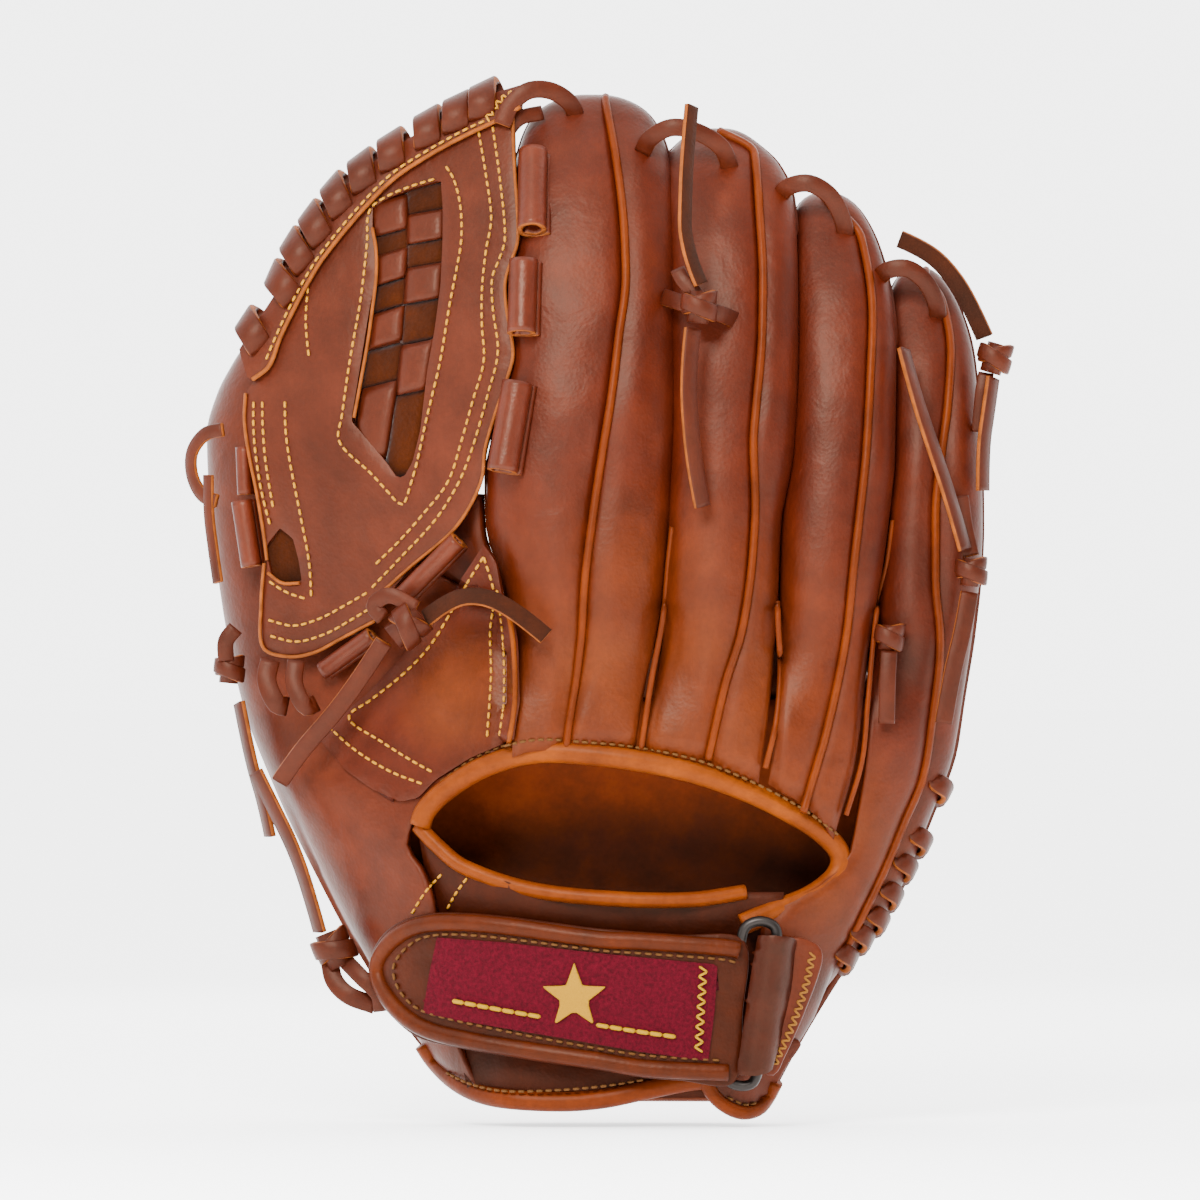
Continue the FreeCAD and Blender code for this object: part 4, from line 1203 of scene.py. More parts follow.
lobe = panel("heel_lobe", [(24.4, -65.6), (25, -74.7), (27.4, -80.8), (31.1, -85.1), (36.9, -87.8),
                           (42.1, -86.9), (45.1, -83.6), (50.6, -74.1), (54.9, -65.6)],
             lambda x, z: hand_point(max(-84, z), min(45, x), -1)[1] - 0.5, 2.6, shell_leather)
ride(lobe, HAND_BODY, "pinky_heel_back", slot="shell_leather")

# Wrist strap
STRAP_CURVE = [(-79, -1), (-70, -13.5), (-55, -23.5), (-35, -31), (-10, -35.5), (20, -36.5), (45, -35)]


def strap_depth(x, _=0.0):
    """Outer face of the strap, bent round the wrist, the same at every height."""
    return float(np.interp(x, strap_line[:, 0], strap_line[:, 1]))


strap_line = np.array(spline(STRAP_CURVE, 1.0))
strap_outline = [(-77.2, -44.5), (-75, -36.9), (-70.5, -31.4), (-63.1, -27.8), (-52.8, -26.5), (-36, -27.4),
                 (-6.1, -31.1), (18.3, -32.9), (37.8, -34.8), (37.5, -56.4), (34.8, -78.1), (18.3, -77.5),
                 (6.7, -76.6), (-6.1, -74.4), (-27.8, -71.4), (-48.8, -68), (-61.3, -65.3), (-68, -60.7),
                 (-74.4, -53.4)]
strap_leather_piece = panel("strap_leather", strap_outline, strap_depth, 3.0, strap_leather, puff=0.5)
ride(strap_leather_piece, STRAP_BODY, "strap_tail", slot="shell_leather")
strap_edge = [(36.3, -37.8), (31.7, -36.9), (6.7, -35.1), (-6.1, -34.5), (-36, -30.5), (-52.8, -29.6),
              (-62.5, -31.1), (-69.2, -35.1), (-73.5, -41.2), (-74.1, -45.8), (-71.4, -52.2),
              (-65.9, -58.3), (-59.2, -62.2), (-48.2, -65), (-27.8, -68.3), (-6.1, -71.4), (6.7, -73.5),
              (32.9, -75)]
edge_path = drape(strap_edge, strap_depth, 0.6)
ride(sweep("strap_edge_roll", edge_path, round_profile(2.7, 2.4, 12), strap_binding_leather, (0, -1, 0)),
     STRAP_BODY, "strap_binding", slot="binding_leather")
patch = panel("strap_patch_suede", [(-55.8, -34.2), (-36.6, -35.4), (-6.1, -38.7), (29.6, -42.1),
                                    (28.7, -56.4), (26.8, -71.4), (6.1, -68.6), (-18.3, -64.4),
                                    (-42.7, -60.4), (-60.1, -57.3), (-58.3, -45.8)],
              lambda x, z: strap_depth(x) - 1.5, 1.4, patch_suede, rounded=False)
ride(patch, STRAP_BODY, "strap_patch", slot="patch_suede")
ride(zigzag_piece("patch_zigzag", [(25.3, -42.7), (23.8, -68.6)], 2.6, 1.5, lambda x,
                  z: strap_depth(x) - 1.9, yellow_thread), STRAP_BODY)
inner_rows = [[(35.1, -41.5), (31.7, -40.6), (6.7, -38.7), (-6.1, -37.8), (-36, -34.2), (-51.9, -33.2),
               (-60.7, -34.5), (-65.9, -38.1), (-69.2, -43), (-68.9, -47.3), (-66.8, -51.5), (-62.2, -55.8),
               (-54.9, -58.3), (-36.6, -62.2), (-18.3, -65.6), (6.1, -69.5), (32.9, -71.4)]]
ride(stitches("strap_stitches", inner_rows, lambda x, z: strap_depth(x) - 0.9, dark_thread, length=2.2,
              gap=1.0), STRAP_BODY)
star = []
for point_number in range(10):
    radius = 10.5 if point_number % 2 == 0 else 4.3
    angle = math.radians(90 + 36 * point_number)
    star.append((-14 + radius * math.cos(angle), -52 + radius * math.sin(angle)))
star_piece = panel("strap_star", star, lambda x, z: strap_depth(x) - 2.4, 1.2, embroidery, rounded=False,
                   spacing=1.5)
ride(star_piece, STRAP_BODY, "strap_emblem", slot="embroidery")
ride(stitches("star_lines", [[(-51.2, -53.4), (-30.5, -57), (-20.7, -58.6)],
                             [(-7.3, -60.4), (6.1, -62.5), (19.5, -64.4)]], lambda x,
                             z: strap_depth(x) - 1.9, yellow_thread, length=4.0, gap=0.1, radius=0.7),
                             STRAP_BODY)

# Ring and keeper
ring_corners = [(36.9, -34.5), (38.4, -30.5), (42.7, -29), (47, -30.8), (47.6, -35.1), (44.8, -54.9),
                (41.8, -74.7), (40, -78.4), (36, -79), (32.6, -77.2), (32.3, -73.5), (34.5, -54.9)]
ring_path = drape(ring_corners, lambda x, z: -34.0, 0, 1.0, True)[:-1]
ride(sweep("ring_wire", ring_path, round_profile(1.6, 1.6, 12), ring_metal, (0, -1, 0), closed=True),
     RING_BODY, "strap_ring", slot="ring_metal")
keeper_outline = [(41.8, -33.2), (47.3, -33.2), (53.7, -34.2), (52.5, -48.8), (49.4, -62.5), (46.1, -74.7),
                  (41.2, -75.9), (35.4, -75.6), (37.2, -62.5), (39.6, -45.8)]


def keeper_depth(x, z):
    """The keeper tab rolls over the ring's bar."""
    axis = 47.3 + (z + 33.5) * 0.166
    return -33.0 - math.sqrt(max(0.4, 6.9 ** 2 - (x - axis) ** 2))


def keeper_foot(x, z):
    """The flat end of the keeper on the heel."""
    return -34.5 + 0.10 * max(0.0, x - 50 - (z + 33.5) * 0.166)


ride(panel("keeper_tab", keeper_outline, keeper_depth, 2.4, keeper_leather, spacing=2.0, rounded=False),
     HAND_BODY, "ring_keeper", slot="shell_leather")
keeper_base = panel("keeper_base", [(51.9, -34.5), (60.4, -36.3), (61.6, -41.2), (56.4, -56.4),
                                    (50.3, -70.1), (47, -75.9), (43.3, -74.7), (48.8, -53.4)], keeper_foot,
                                    2.2, shell_leather)
ride(keeper_base, HAND_BODY)
ride(zigzag_piece("keeper_zigzag", [(58.6, -38.7), (56.4, -48.8), (51.9, -61.9), (46.7, -72.9)], 2.4, 1.3,
                  keeper_foot, dull_thread), HAND_BODY)
seams = [[(-54.6, -15.2), (-59.5, -20.7), (-63.7, -27.4)], [(-46.7, -16.2), (-50.3, -21.3), (-53.1, -26.5)]]
band_tree = tree_of([bpy.data.objects["wrist_band_leather"], side_piece])
ride(stitches("wrist_seams", seams, lambda x, z: ray_depth(band_tree, x, z, -20), thread), HAND_BODY)
ride(stitches("heel_stitches", [[(-53.1, -75.9), (-45.8, -79), (-36, -80.8), (-19.5, -80.5), (-5.5, -79.3),
                                 (7.6, -77.2)], [(32.9, -82.7), (38.1, -85.1), (42.1, -84.5)]],
              lambda x, z: hand_point(z, x, -1)[1] - 1.6, dark_thread), HAND_BODY)

# ---------------------------------------------------------------- gusset and web

gusset = panel("gusset_leather", [(-41.5, 85.4), (-37.8, 80.2), (-35.7, 68.6), (-33.2, 56.4), (-32.6, 38.1),
                                  (-34.5, 25.3), (-45.8, 20.4), (-56.4, 13.7), (-61.6, 8.2), (-67.1, 7),
                                  (-75.6, 10.7), (-83.6, 16.2), (-91.8, 25.6), (-85.4, 33.2), (-76.6, 40.6),
                                  (-65.6, 52.8), (-53.1, 67.4), (-47, 77.2)],
               lambda x, z: hide_depth(x, z) - 1.4, 2.2, gusset_leather, puff=0.4, rounded=False)
gusset_tree = tree_of([gusset, side_piece] + list(base_pieces.values()))
gusset_rows = [[(-41.5, 81.7), (-45.4, 75.6), (-49.7, 68.3), (-57.9, 54.9), (-66.5, 45.8), (-76.6, 37.8),
                (-83.3, 32.6), (-72.9, 25.3), (-64, 19.8), (-55.5, 15.2)],
               [(-88.8, 29.3), (-80.5, 22.3), (-70.1, 16.2), (-59.5, 12.2)],
               [(-41.5, 81.7), (-38.4, 70.5), (-39.6, 59.5), (-39.3, 45.8), (-40.6, 25.3)], [(-37.5, 71.7),
                       (-35.7, 57.3), (-35.4, 37.8), (-36.9, 25.9)]]
bend(stitches("gusset_stitches", gusset_rows, lambda x, z: ray_depth(gusset_tree, x, z, -25), thread),
     slot="stitching")
edge_strip = sweep("gusset_edge", drape([(-34.8, 68.6), (-32.6, 56.4), (-32, 38.1), (-33.9, 24.7)],
        lambda x, z: ray_depth(gusset_tree, x, z, -25), 0.2), round_profile(0.8, 0.8, 8), binding_leather,
        (0, -1, 0))
bend(edge_strip)
bend(gusset, "gusset_panel", slot="shell_leather")


web_outline = [(-68.6, 205.9), (-82.3, 192.2), (-92.1, 178.4), (-100.6, 163.2), (-107.4, 147.9),
               (-111, 138.2), (-115, 132.1), (-115.3, 123.5), (-113.8, 112.8), (-111.6, 102.2),
               (-109.5, 90), (-108.3, 79.9), (-110.1, 67.4), (-109.5, 54), (-101.6, 51.5), (-93.6, 52.8),
               (-86, 56.7), (-75, 62.5), (-71.7, 69.2), (-64, 78.4), (-51.9, 88.5), (-46.4, 95.8),
               (-42.4, 105.2), (-41.2, 114.1), (-38.4, 123.8), (-34.2, 136.6), (-32.6, 144), (-34.8, 158.6),
               (-34.8, 166.2), (-31.4, 176.6), (-31.1, 183.6), (-32.3, 202.2), (-32.9, 217.8),
               (-36.6, 221.7), (-51.9, 215)]
window = [(-75.9, 188.8), (-72, 191.5), (-65.6, 194.3), (-54.9, 197.3), (-54.3, 189.1), (-54.3, 178.4),
          (-54.9, 164.7), (-56.7, 151), (-58.9, 138.8), (-61, 120.5), (-63.4, 110.7), (-65.9, 106.4),
          (-68, 105.8), (-71.4, 110.7), (-82.3, 123.5), (-80.5, 134.2), (-78.4, 147.6), (-76.6, 158.6),
          (-74.7, 167.1), (-75.9, 182.7)]
slit = [(-104.3, 90.6), (-100.3, 87.5), (-98.5, 80.8), (-97.6, 74.7), (-100, 72.9), (-106.8, 75.6),
        (-108, 80.8), (-108.6, 85.4)]
web_main = panel("web_panel_leather", web_outline, web_depth, HIDE_THICKNESS, web_leather,
                 holes=(window, slit), puff=0.6, rounded=False)
bend(web_main, "web_back_panel", slot="shell_leather")
under = panel("web_panel_under", web_outline, lambda x, z: web_depth(x, z) + 5.4, 2.4, web_leather,
              holes=(window,), puff=0.4, rounded=False)
bend(under, "web_front_panel", slot="shell_leather")
web_rows = [[(-53.4, 201.6), (-50.9, 197.6), (-48.8, 189.1), (-48.5, 178.7), (-50, 169.3), (-51.9, 159.5),
             (-54.9, 141.5), (-57.3, 131.2), (-59.5, 122), (-61.9, 111), (-64, 103.7), (-66.5, 97.6),
             (-71.4, 102.2), (-75.9, 107.1), (-86, 117.1), (-85.1, 125), (-83, 140), (-81.4, 149.4),
             (-79.6, 159.5), (-78.4, 169.3), (-77.5, 178.7), (-76.9, 188.2), (-72, 192.2), (-64, 195.5),
             (-55.8, 197.9)],
            [(-39, 213.8), (-36.6, 196.7), (-35.1, 178.7), (-37.2, 171.7), (-39, 167.1), (-38.7, 157.1),
             (-37.2, 144), (-40.3, 131.2), (-43.9, 118.3), (-46.4, 111), (-49.4, 104), (-56.4, 93),
             (-68, 80.5), (-76.2, 72)],
            [(-43.3, 212.3), (-40.9, 198.2), (-39.3, 185.1), (-40.9, 175.4), (-42.1, 163.2), (-42.1, 152.5),
             (-41.5, 141.5), (-44.8, 129.6), (-48.5, 116.5), (-52.5, 104.6), (-60.4, 94.5), (-68, 86),
             (-76.6, 77.8)],
            [(-102.8, 129.6), (-102.5, 120.5), (-101.3, 111.6), (-97.9, 94.5), (-95.2, 79.9),
             (-94.5, 68.3)], [(-107.7, 74.4), (-103.1, 71.4), (-99.1, 69.8), (-94.5, 68.6)],
            [(-112.5, 129.6), (-112.5, 122), (-111.9, 114.1), (-110.1, 102.5),
             (-107.1, 90.6)], [(-109.8, 129.6), (-109.5, 119.9), (-108.6, 110.1), (-106.4, 97)],
             [(-95.8, 164.7), (-96.4, 154), (-95.2, 141.5)],
            [(-107.4, 57.6), (-99.1, 55.8), (-90, 58.3), (-82.3, 62.5), (-75.6, 66.5)], [(-108, 62.5),
                    (-100, 60.7), (-91.5, 63.1), (-83.9, 67.1), (-76.9, 71.1)]]
bend(stitches("web_stitches", web_rows, lambda x, z: web_depth(x, z) - 0.6, thread), slot="stitching")
slot_edge = drape([(-75.9, 182.7), (-74.7, 175.4), (-74.7, 167.1), (-75.9, 157.1), (-77.2, 147.6),
                   (-79.3, 135.7), (-81.4, 124.4)], lambda x, z: web_depth(x, z) - 0.5)
bottom_edge = drape([(-109.2, 79.9), (-110.1, 67.4), (-109.5, 54), (-101.6, 51.2), (-93.6, 52.5),
                     (-86, 56.4), (-75, 62.2)], lambda x, z: web_depth(x, z) - 0.3)
right_edge = drape([(-32.9, 217.8), (-32.3, 202.2), (-31.1, 183.6), (-31.4, 177.2), (-34.8, 166.8),
                    (-34.8, 159.2), (-32.6, 144), (-34.2, 136.6), (-38.4, 124.1), (-41.2, 114.1),
                    (-42.1, 105.5), (-46.4, 96.1), (-51.9, 88.8), (-64, 78.7), (-74.4, 69.5)], lambda x,
                    z: web_depth(x, z) - 0.2)
left_edge = drape([(-115, 132.1), (-115.3, 123.5), (-113.8, 112.8), (-111.6, 102.2), (-109.5, 90),
                   (-108.3, 80.8)], lambda x, z: web_depth(x, z) - 0.2)
slit_edge = drape([(-108, 76.9), (-103.7, 73.8), (-98.2, 73.8)], lambda x, z: web_depth(x, z) - 0.3)
edges = [sweep("edge", line, round_profile(0.55, 0.75, 8), cut_edge, (0, -1, 0)) for line in (slot_edge,
        bottom_edge, right_edge, left_edge, slit_edge)]
bend(join("web_cut_edges", edges))
bend(panel("slit_strip", [(-109.2, 90), (-103.7, 92.4), (-96.4, 86.9), (-95.8, 73.2), (-100, 71.1),
                          (-109.2, 74.7)], lambda x, z: web_depth(x, z) + 2.0, 1.6, suede, rounded=False))

# The weave in the window
WEAVE_LEFT = [("s", 191.8, 181.2), ("u", 181.8, 172.9), ("s", 175.4, 166.2), ("u", 166.5, 157.4),
              ("s", 157.4, 146.7), ("u", 146.4, 133.9), ("s", 134.5, 110.7)]
WEAVE_RIGHT = [("u", 196.7, 187.0), ("s", 187.6, 178.4), ("u", 179.0, 170.5), ("s", 171.1, 160.1),
               ("u", 160.7, 147.3), ("s", 147.3, 132.1), ("u", 133.6, 105.2)]

SLOT_LEFT = [(-76.9, 193.7), (-75.6, 182.7), (-74.4, 167.1), (-76.9, 147.6), (-81.1, 124.4), (-81.7, 108.3)]
SLOT_SPLIT = [(-65.3, 196.7), (-65, 178.4), (-65.9, 160.1), (-66.8, 146.4), (-68.3, 131.2), (-72, 108.3)]
SLOT_RIGHT = [(-53.7, 199.8), (-53.7, 178.4), (-54.3, 163.2), (-56.1, 151), (-58.6, 135.7), (-62.8, 105.2)]


def side_x(line, z):
    line = sorted((point[1], point[0]) for point in line)
    return float(np.interp(z, [point[0] for point in line], [point[1] for point in line]))


cells = []
for kinds, (first, second) in ((WEAVE_LEFT, (SLOT_LEFT, SLOT_SPLIT)),
                               (WEAVE_RIGHT, (SLOT_SPLIT, SLOT_RIGHT))):
    for kind, top, low in kinds:
        tilt = 3.0 if kinds is WEAVE_LEFT else 2.0
        corners = [(side_x(first, low) - 0.6, low - tilt / 2), (side_x(second, low) + 0.4, low + tilt / 2),
                   (side_x(second, top) + 0.4, top + tilt / 2), (side_x(first, top) - 0.6, top - tilt / 2)]
        smooth = kind == "s"
        cells.append(pillow("cell", corners, web_depth, 0.0 if smooth else -1.6,
                            web_leather if smooth else suede,
                            bow=(1.6, 0.4) if smooth else (0.2, 1.2)))
bend(join("web_weave_strips", cells), "web_weave", slot="suede")
bend(panel("web_weave_backing", [(-78.7, 191.8), (-64, 198.6), (-51.9, 201), (-51.9, 163.2), (-56.1, 129.6),
                                 (-64, 103.4), (-68.6, 103.4), (-84.2, 122), (-78.7, 160.1)], lambda x,
                                 z: web_depth(x, z) + 3.4, 1.2, web_leather, rounded=False))

# Top band and its spiral lacing
band_outer = [(-30.8, 226.3), (-38.1, 224.2), (-46.4, 220.2), (-55.8, 215.6), (-64, 210.8), (-75, 203.7),
              (-84.5, 196.1), (-92.1, 186.7), (-100, 175.1), (-105.5, 163.2), (-111.6, 154),
              (-117.1, 145.5)]
band_inner = [(-114.1, 136), (-111, 138.2), (-107.7, 140.3), (-100, 158), (-90.6, 174.2), (-79.6, 187.6),
              (-68.9, 198.2), (-56.4, 206.2), (-35.4, 216.9), (-31.1, 219.9)]
band = panel("web_band_leather", band_outer + band_inner, lambda x, z: web_depth(x, z) - 2.6, 5.0,
             band_leather, puff=0.8, rounded=False)
bend(band, "web_top_band", slot="shell_leather")
band_edge = drape([(-112.8, 136.3), (-107.7, 140.3), (-104.3, 149.1), (-100, 158), (-95.5, 166.5),
                   (-90.6, 174.2), (-79.6, 187.6), (-68.9, 198.2), (-56.4, 206.2), (-45.8, 211.7),
                   (-35.4, 216.5), (-30.5, 219.6)], lambda x, z: web_depth(x, z) - 2.6)
bend(sweep("band_edge", band_edge, round_profile(0.7, 0.8, 8), cut_edge, (0, -1, 0)))
band_row = [[(-108.6, 142.4), (-105.2, 150.4), (-101, 159.2), (-96.4, 167.8), (-91.5, 175.4),
             (-80.5, 188.8), (-69.8, 199.5), (-57.3, 207.4), (-47, 212.9), (-40.9, 215.6)]]
bend(stitches("band_stitches", band_row, lambda x, z: web_depth(x, z) - 3.3, thread))
bend(zigzag_piece("band_zigzag", [(-40.9, 215.6), (-39, 218.7), (-36.6, 221.7), (-32.3, 224.2)], 2.2, 1.2,
                  lambda x, z: web_depth(x, z) - 3.3, thread))
WRAPS = [(-115.3, 153.4), (-112.2, 159.5), (-107.4, 167.8), (-101, 177.5), (-94.9, 186.7), (-87.2, 194.6),
         (-79, 202.5), (-70.5, 208.6), (-59.5, 215.9), (-50.3, 220.8), (-42.1, 223.9)]
outer_line = even_line(spline(band_outer, 1.0), 1.0)
wraps = []
for place, spot in enumerate(WRAPS):
    if place == 1:
        continue
    near = int(np.argmin(np.linalg.norm(outer_line - np.array(spot), axis=1)))
    near = min(max(near, 2), len(outer_line) - 3)
    along = outer_line[near + 2] - outer_line[near - 2]
    along /= np.linalg.norm(along)
    inward = np.array((-along[1], along[0]))
    centre = outer_line[near]
    points, sides = [], []
    for into, out, skew, facing in ((5.0, -2.0, 3.8, (0.5, -1.0)), (3.2, -4.4, 2.8, (0.1, -1)),
                                    (0.4, -5.6, 1.4, (-0.2, -1)),
                                    (-2.2, -4.4, 0.0, (-0.6, -0.8)), (-3.5, -0.6, -1.2, (-1, 0)), (-2.0,
                                            4.4, -2.2, (-0.6, 0.8)),
                                    (4.0, 5.4, -1.6, (0, 1)), (8.0, 4.6, -2.2, (0, 1))):
        flat = centre + inward * into + along * skew
        depth = web_depth(flat[0], flat[1]) + out
        points.append((flat[0], depth, flat[1]))
        side = inward * facing[0]
        sides.append((side[0], facing[1], side[1]))
    wraps.append(lace("wrap", points, 8.2, 2.8, sides))
bend(join("web_spiral_lace", wraps), "web_edge_lace", slot="lace_leather")


def scroll(name, foot, head, radius, material, turns=1.35, thickness=1.9, facing=(0, -1, 0)):
    """A strip of leather rolled into a tube between two points."""
    profile_out, profile_in = [], []
    steps = 26
    for step in range(steps + 1):
        angle = 2 * math.pi * turns * step / steps + math.radians(200)
        size = radius * (1 - 0.42 * step / steps)
        profile_out.append((size * math.cos(angle), size * math.sin(angle)))
        profile_in.append(((size - thickness * 0.8) * math.cos(angle),
                           (size - thickness * 0.8) * math.sin(angle)))
    profile = profile_out + profile_in[::-1]
    path = even_line([foot, head], 1.5)
    piece = sweep(name, path, profile, material, facing, second=cut_edge)
    for face in piece.data.polygons:
        if len(face.vertices) > 4:
            face.material_index = 1
    return piece


index_tree = tree_of([base_pieces["index_back_inner"], base_pieces["index_back_outer"]])
tubes = []
for top, low, radius in ([(-26.2, 205.9), (-26.5, 181.5)] + [5.7], [(-29, 172.3), (-29.6, 149.8)] + [5.6],
                         [(-30.8, 134.8), (-35.4, 107.7)] + [6.0]):
    x_top = min(top[0] + 4, -25)
    y_top = ray_depth(index_tree, max(x_top, -27.0), top[1], -14) - 3.5
    y_low = ray_depth(index_tree, max(low[0] + 4, -27.0), low[1], -14) - 3.5
    tubes.append(scroll("tube", np.array((low[0], y_low, low[1])), np.array((top[0], y_top, top[1])),
                        radius, roll_leather))
ride(join("web_tie_rolls", tubes), HAND_BODY, "web_rolls", slot="shell_leather")
(tie_top, tie_low) = [(-49.1, 86.6), (-66.5, 69.2)]
tie = scroll("web_heel_roll", np.array((tie_low[0], web_depth(*tie_low) - 3.0, tie_low[1])),
             np.array((tie_top[0], web_depth(*tie_top) - 2.0, tie_top[1])), 3.9, roll_leather)
(five_top, five_low) = [(-75.6, 57.6), (-90.9, 46.7)]
tie_five = scroll("web_low_roll", np.array((five_low[0], web_depth(*five_low) + 1.0, five_low[1])),
                  np.array((five_top[0], web_depth(*five_top) + 0.5, five_top[1])), 3.6, roll_leather)
side_rolls = []
for top, low, radius in ([(-115.6, 115.6), (-115, 101)] + [3.0], [(-115.9, 99.1), (-112.8, 79)] + [4.2]):
    side_rolls.append(scroll("side_roll", np.array((low[0], web_depth(*low) + 2.0, low[1])),
                             np.array((top[0], web_depth(*top) + 2.0, top[1])), radius, roll_leather))
bend(join("web_side_rolls", [tie, tie_five] + side_rolls))

# ---------------------------------------------------------------- laces, knots and tails
def knot(name, centre, along, radius=4.0, width=4.6):
    """Flat lace wrapped as a band round another, with a crossing turn."""
    centre = np.array(centre, float)
    along = np.array(along, float) / np.linalg.norm(along)
    outward = np.array((0.0, -1.0, 0.0))
    outward -= along * outward.dot(along)
    outward /= np.linalg.norm(outward)
    side = np.cross(outward, along)
    parts = []
    for slant, shift, size in ((0.3, 0.0, 1.0), (-0.4, 1.6, 0.86)):
        points, sides = [], []
        for turn in range(12):
            angle = 2 * math.pi * turn / 12
            radial = side * math.cos(angle) * radius * size + outward * math.sin(angle) * radius * 0.78 * size
            points.append(centre + radial + along * (slant * radius * math.cos(angle) + shift))
            sides.append(side * math.cos(angle) + outward * math.sin(angle))
        parts.append(lace(name + "_turn", points, width * size, 1.9, sides, closed=True))
    core = sweep(name + "_core", [centre - along * radius, centre + along * radius],
                 round_profile(radius * 0.72, radius * 0.55, 10), lace_leather, outward)
    return parts + [core]


def ribbon_line(route, spacing=1.2):
    """The route of a lace end, a soft curve led by its points."""
    curve = bpy.data.curves.new("route", "CURVE")
    curve.dimensions = "3D"
    spline_part = curve.splines.new("NURBS")
    spline_part.points.add(len(route) - 1)
    for point, place in zip(spline_part.points, route):
        point.co = (*[part * MM for part in place], 1)
    spline_part.order_u = 3
    spline_part.use_endpoint_u = True
    spline_part.resolution_u = 12
    holder = bpy.data.objects.new("route", curve)
    bpy.context.scene.collection.objects.link(holder)
    bpy.context.view_layer.update()
    mesh = bpy.data.meshes.new_from_object(holder)
    line = [np.array(vertex.co) / MM for vertex in mesh.vertices]
    bpy.data.objects.remove(holder)
    bpy.data.curves.remove(curve)
    bpy.data.meshes.remove(mesh)
    return even_line(line, spacing)


TAIL_WIDTH = 5.4
TAILS = {
    "tail_middle_up": ([(24.5, -37, 164.5), (19.5, -37, 176), (19.8, -34, 192), (20.5, -30, 206),
                        (21.8, -27, 219)], (0.8, -0.6, 0), HAND_BODY, "suede"),
    "tail_middle_down": ([(22, -38, 151), (20.5, -40, 137), (21.2, -40.5, 122), (22.8, -39.5, 108),
                          (25, -38, 97)], (0.55, -0.8, 0), HAND_BODY, "lace"),
    "tail_pinky_up": ([(111.5, -10, 149), (107, -12, 159), (101.5, -12.5, 168), (94, -12, 175.5),
                       (85.5, -11, 179)], (-0.3, -0.9, -0.3), HAND_BODY, "suede"),
    "tail_pinky_down": ([(114, -11, 136.5), (112.5, -13, 126), (110.8, -14, 115), (110.8, -14, 102)],
                        (0.8, -0.6, 0), HAND_BODY, "lace"),
    "tail_ring_long": ([(86.5, -18, 145), (90, -24, 131), (95, -26, 116), (100.5, -26, 100),
                        (105, -25, 84)], (0.85, -0.6, 0), HAND_BODY, "lace"),
    "tail_ring_end": ([(106.5, -23, 71), (104.5, -24, 59), (101, -25, 46), (98.5, -25, 31)], (0.2, -1, 0),
                      HAND_BODY, "lace"),
    "tail_web_right": ([(-59, -28, 63), (-53, -32, 68), (-44, -36, 70.5), (-33, -38.5, 66.5),
                        (-22.5, -39, 57.5)], (0, -0.9, 0.45), THUMB_BODY, "suede"),
    "tail_web_left": ([(-72, -22, 56), (-79, -19, 45), (-88, -17, 33), (-98, -12, 22), (-104, -7, 13)],
                      (0.1, -1, -0.1), THUMB_BODY, "lace"),
    "tail_thumb": ([(-117, 11, 37), (-115, 9, 27), (-112.5, 8, 16), (-109.5, 8.5, 6), (-107.5, 9.5, -4)],
                   (-0.9, -0.45, 0), THUMB_BODY, "lace"),
    "tail_heel": ([(-92, -1, -33), (-95.5, -4, -20), (-100, -6, -7), (-106, -5, 5), (-111.5, -4, 16)],
                  (-0.8, -0.6, 0), HAND_BODY, "lace"),
}
for tail_name, (route, facing, body, kind) in TAILS.items():
    line = ribbon_line(route)
    piece = sweep(tail_name + "_lace", line, lace_profile(TAIL_WIDTH, 1.9),
                  tail_suede if kind == "suede" else lace_leather, facing, second=cut_edge,
                  edge_share=(1, 6))
    ride(piece, body, tail_name, slot="lace_leather")

bridges = [lace("bridge", [(-36, -6, 214), (-33.5, -5.5, 220), (-28, -5, 224.5), (-21, -3, 224.5),
                           (-15, 0, 220.5), (-13, 6, 214)]),
           lace("bridge", [(-36, -2, 210), (-31, -2, 216), (-24, 1, 218)], 4.6),
           lace("bridge", [(7, -5, 206), (9.5, -10, 210), (16, -13, 213), (24, -12, 211.5), (31, -9, 207),
                           (34, -2, 200)]),
           lace("bridge", [(48, -2, 191), (51.5, -7, 195), (58, -9, 196), (64.5, -7, 192), (68.5, -3, 184),
                           (69, 3, 177)]),
           lace("bridge", [(78, -1, 166), (82, -6, 169.5), (88, -7, 170), (93.5, -5, 166), (97, -1, 159),
                           (97.5, 5, 153)])]
ride(join("fingertip_lace_bridges", bridges), HAND_BODY, "fingertip_laces", slot="lace_leather")
hand_knot_parts = (knot("knot", (24, -36, 157.5), (0.1, 0, 1), 4.8, 5.0) + knot("knot",
        (114.5, -9.5, 142.5), (0.3, 0, 1), 4.6)
                   + knot("knot", (107, -23, 77), (0.1, 0, 1), 4.2) + knot("knot", (82, -22.5, 57),
                           (0.2, 0, 1), 3.8)
                   + knot("knot", (-87.5, -1, -38.5), (-0.4, 0, 1), 5.6, 5.6))
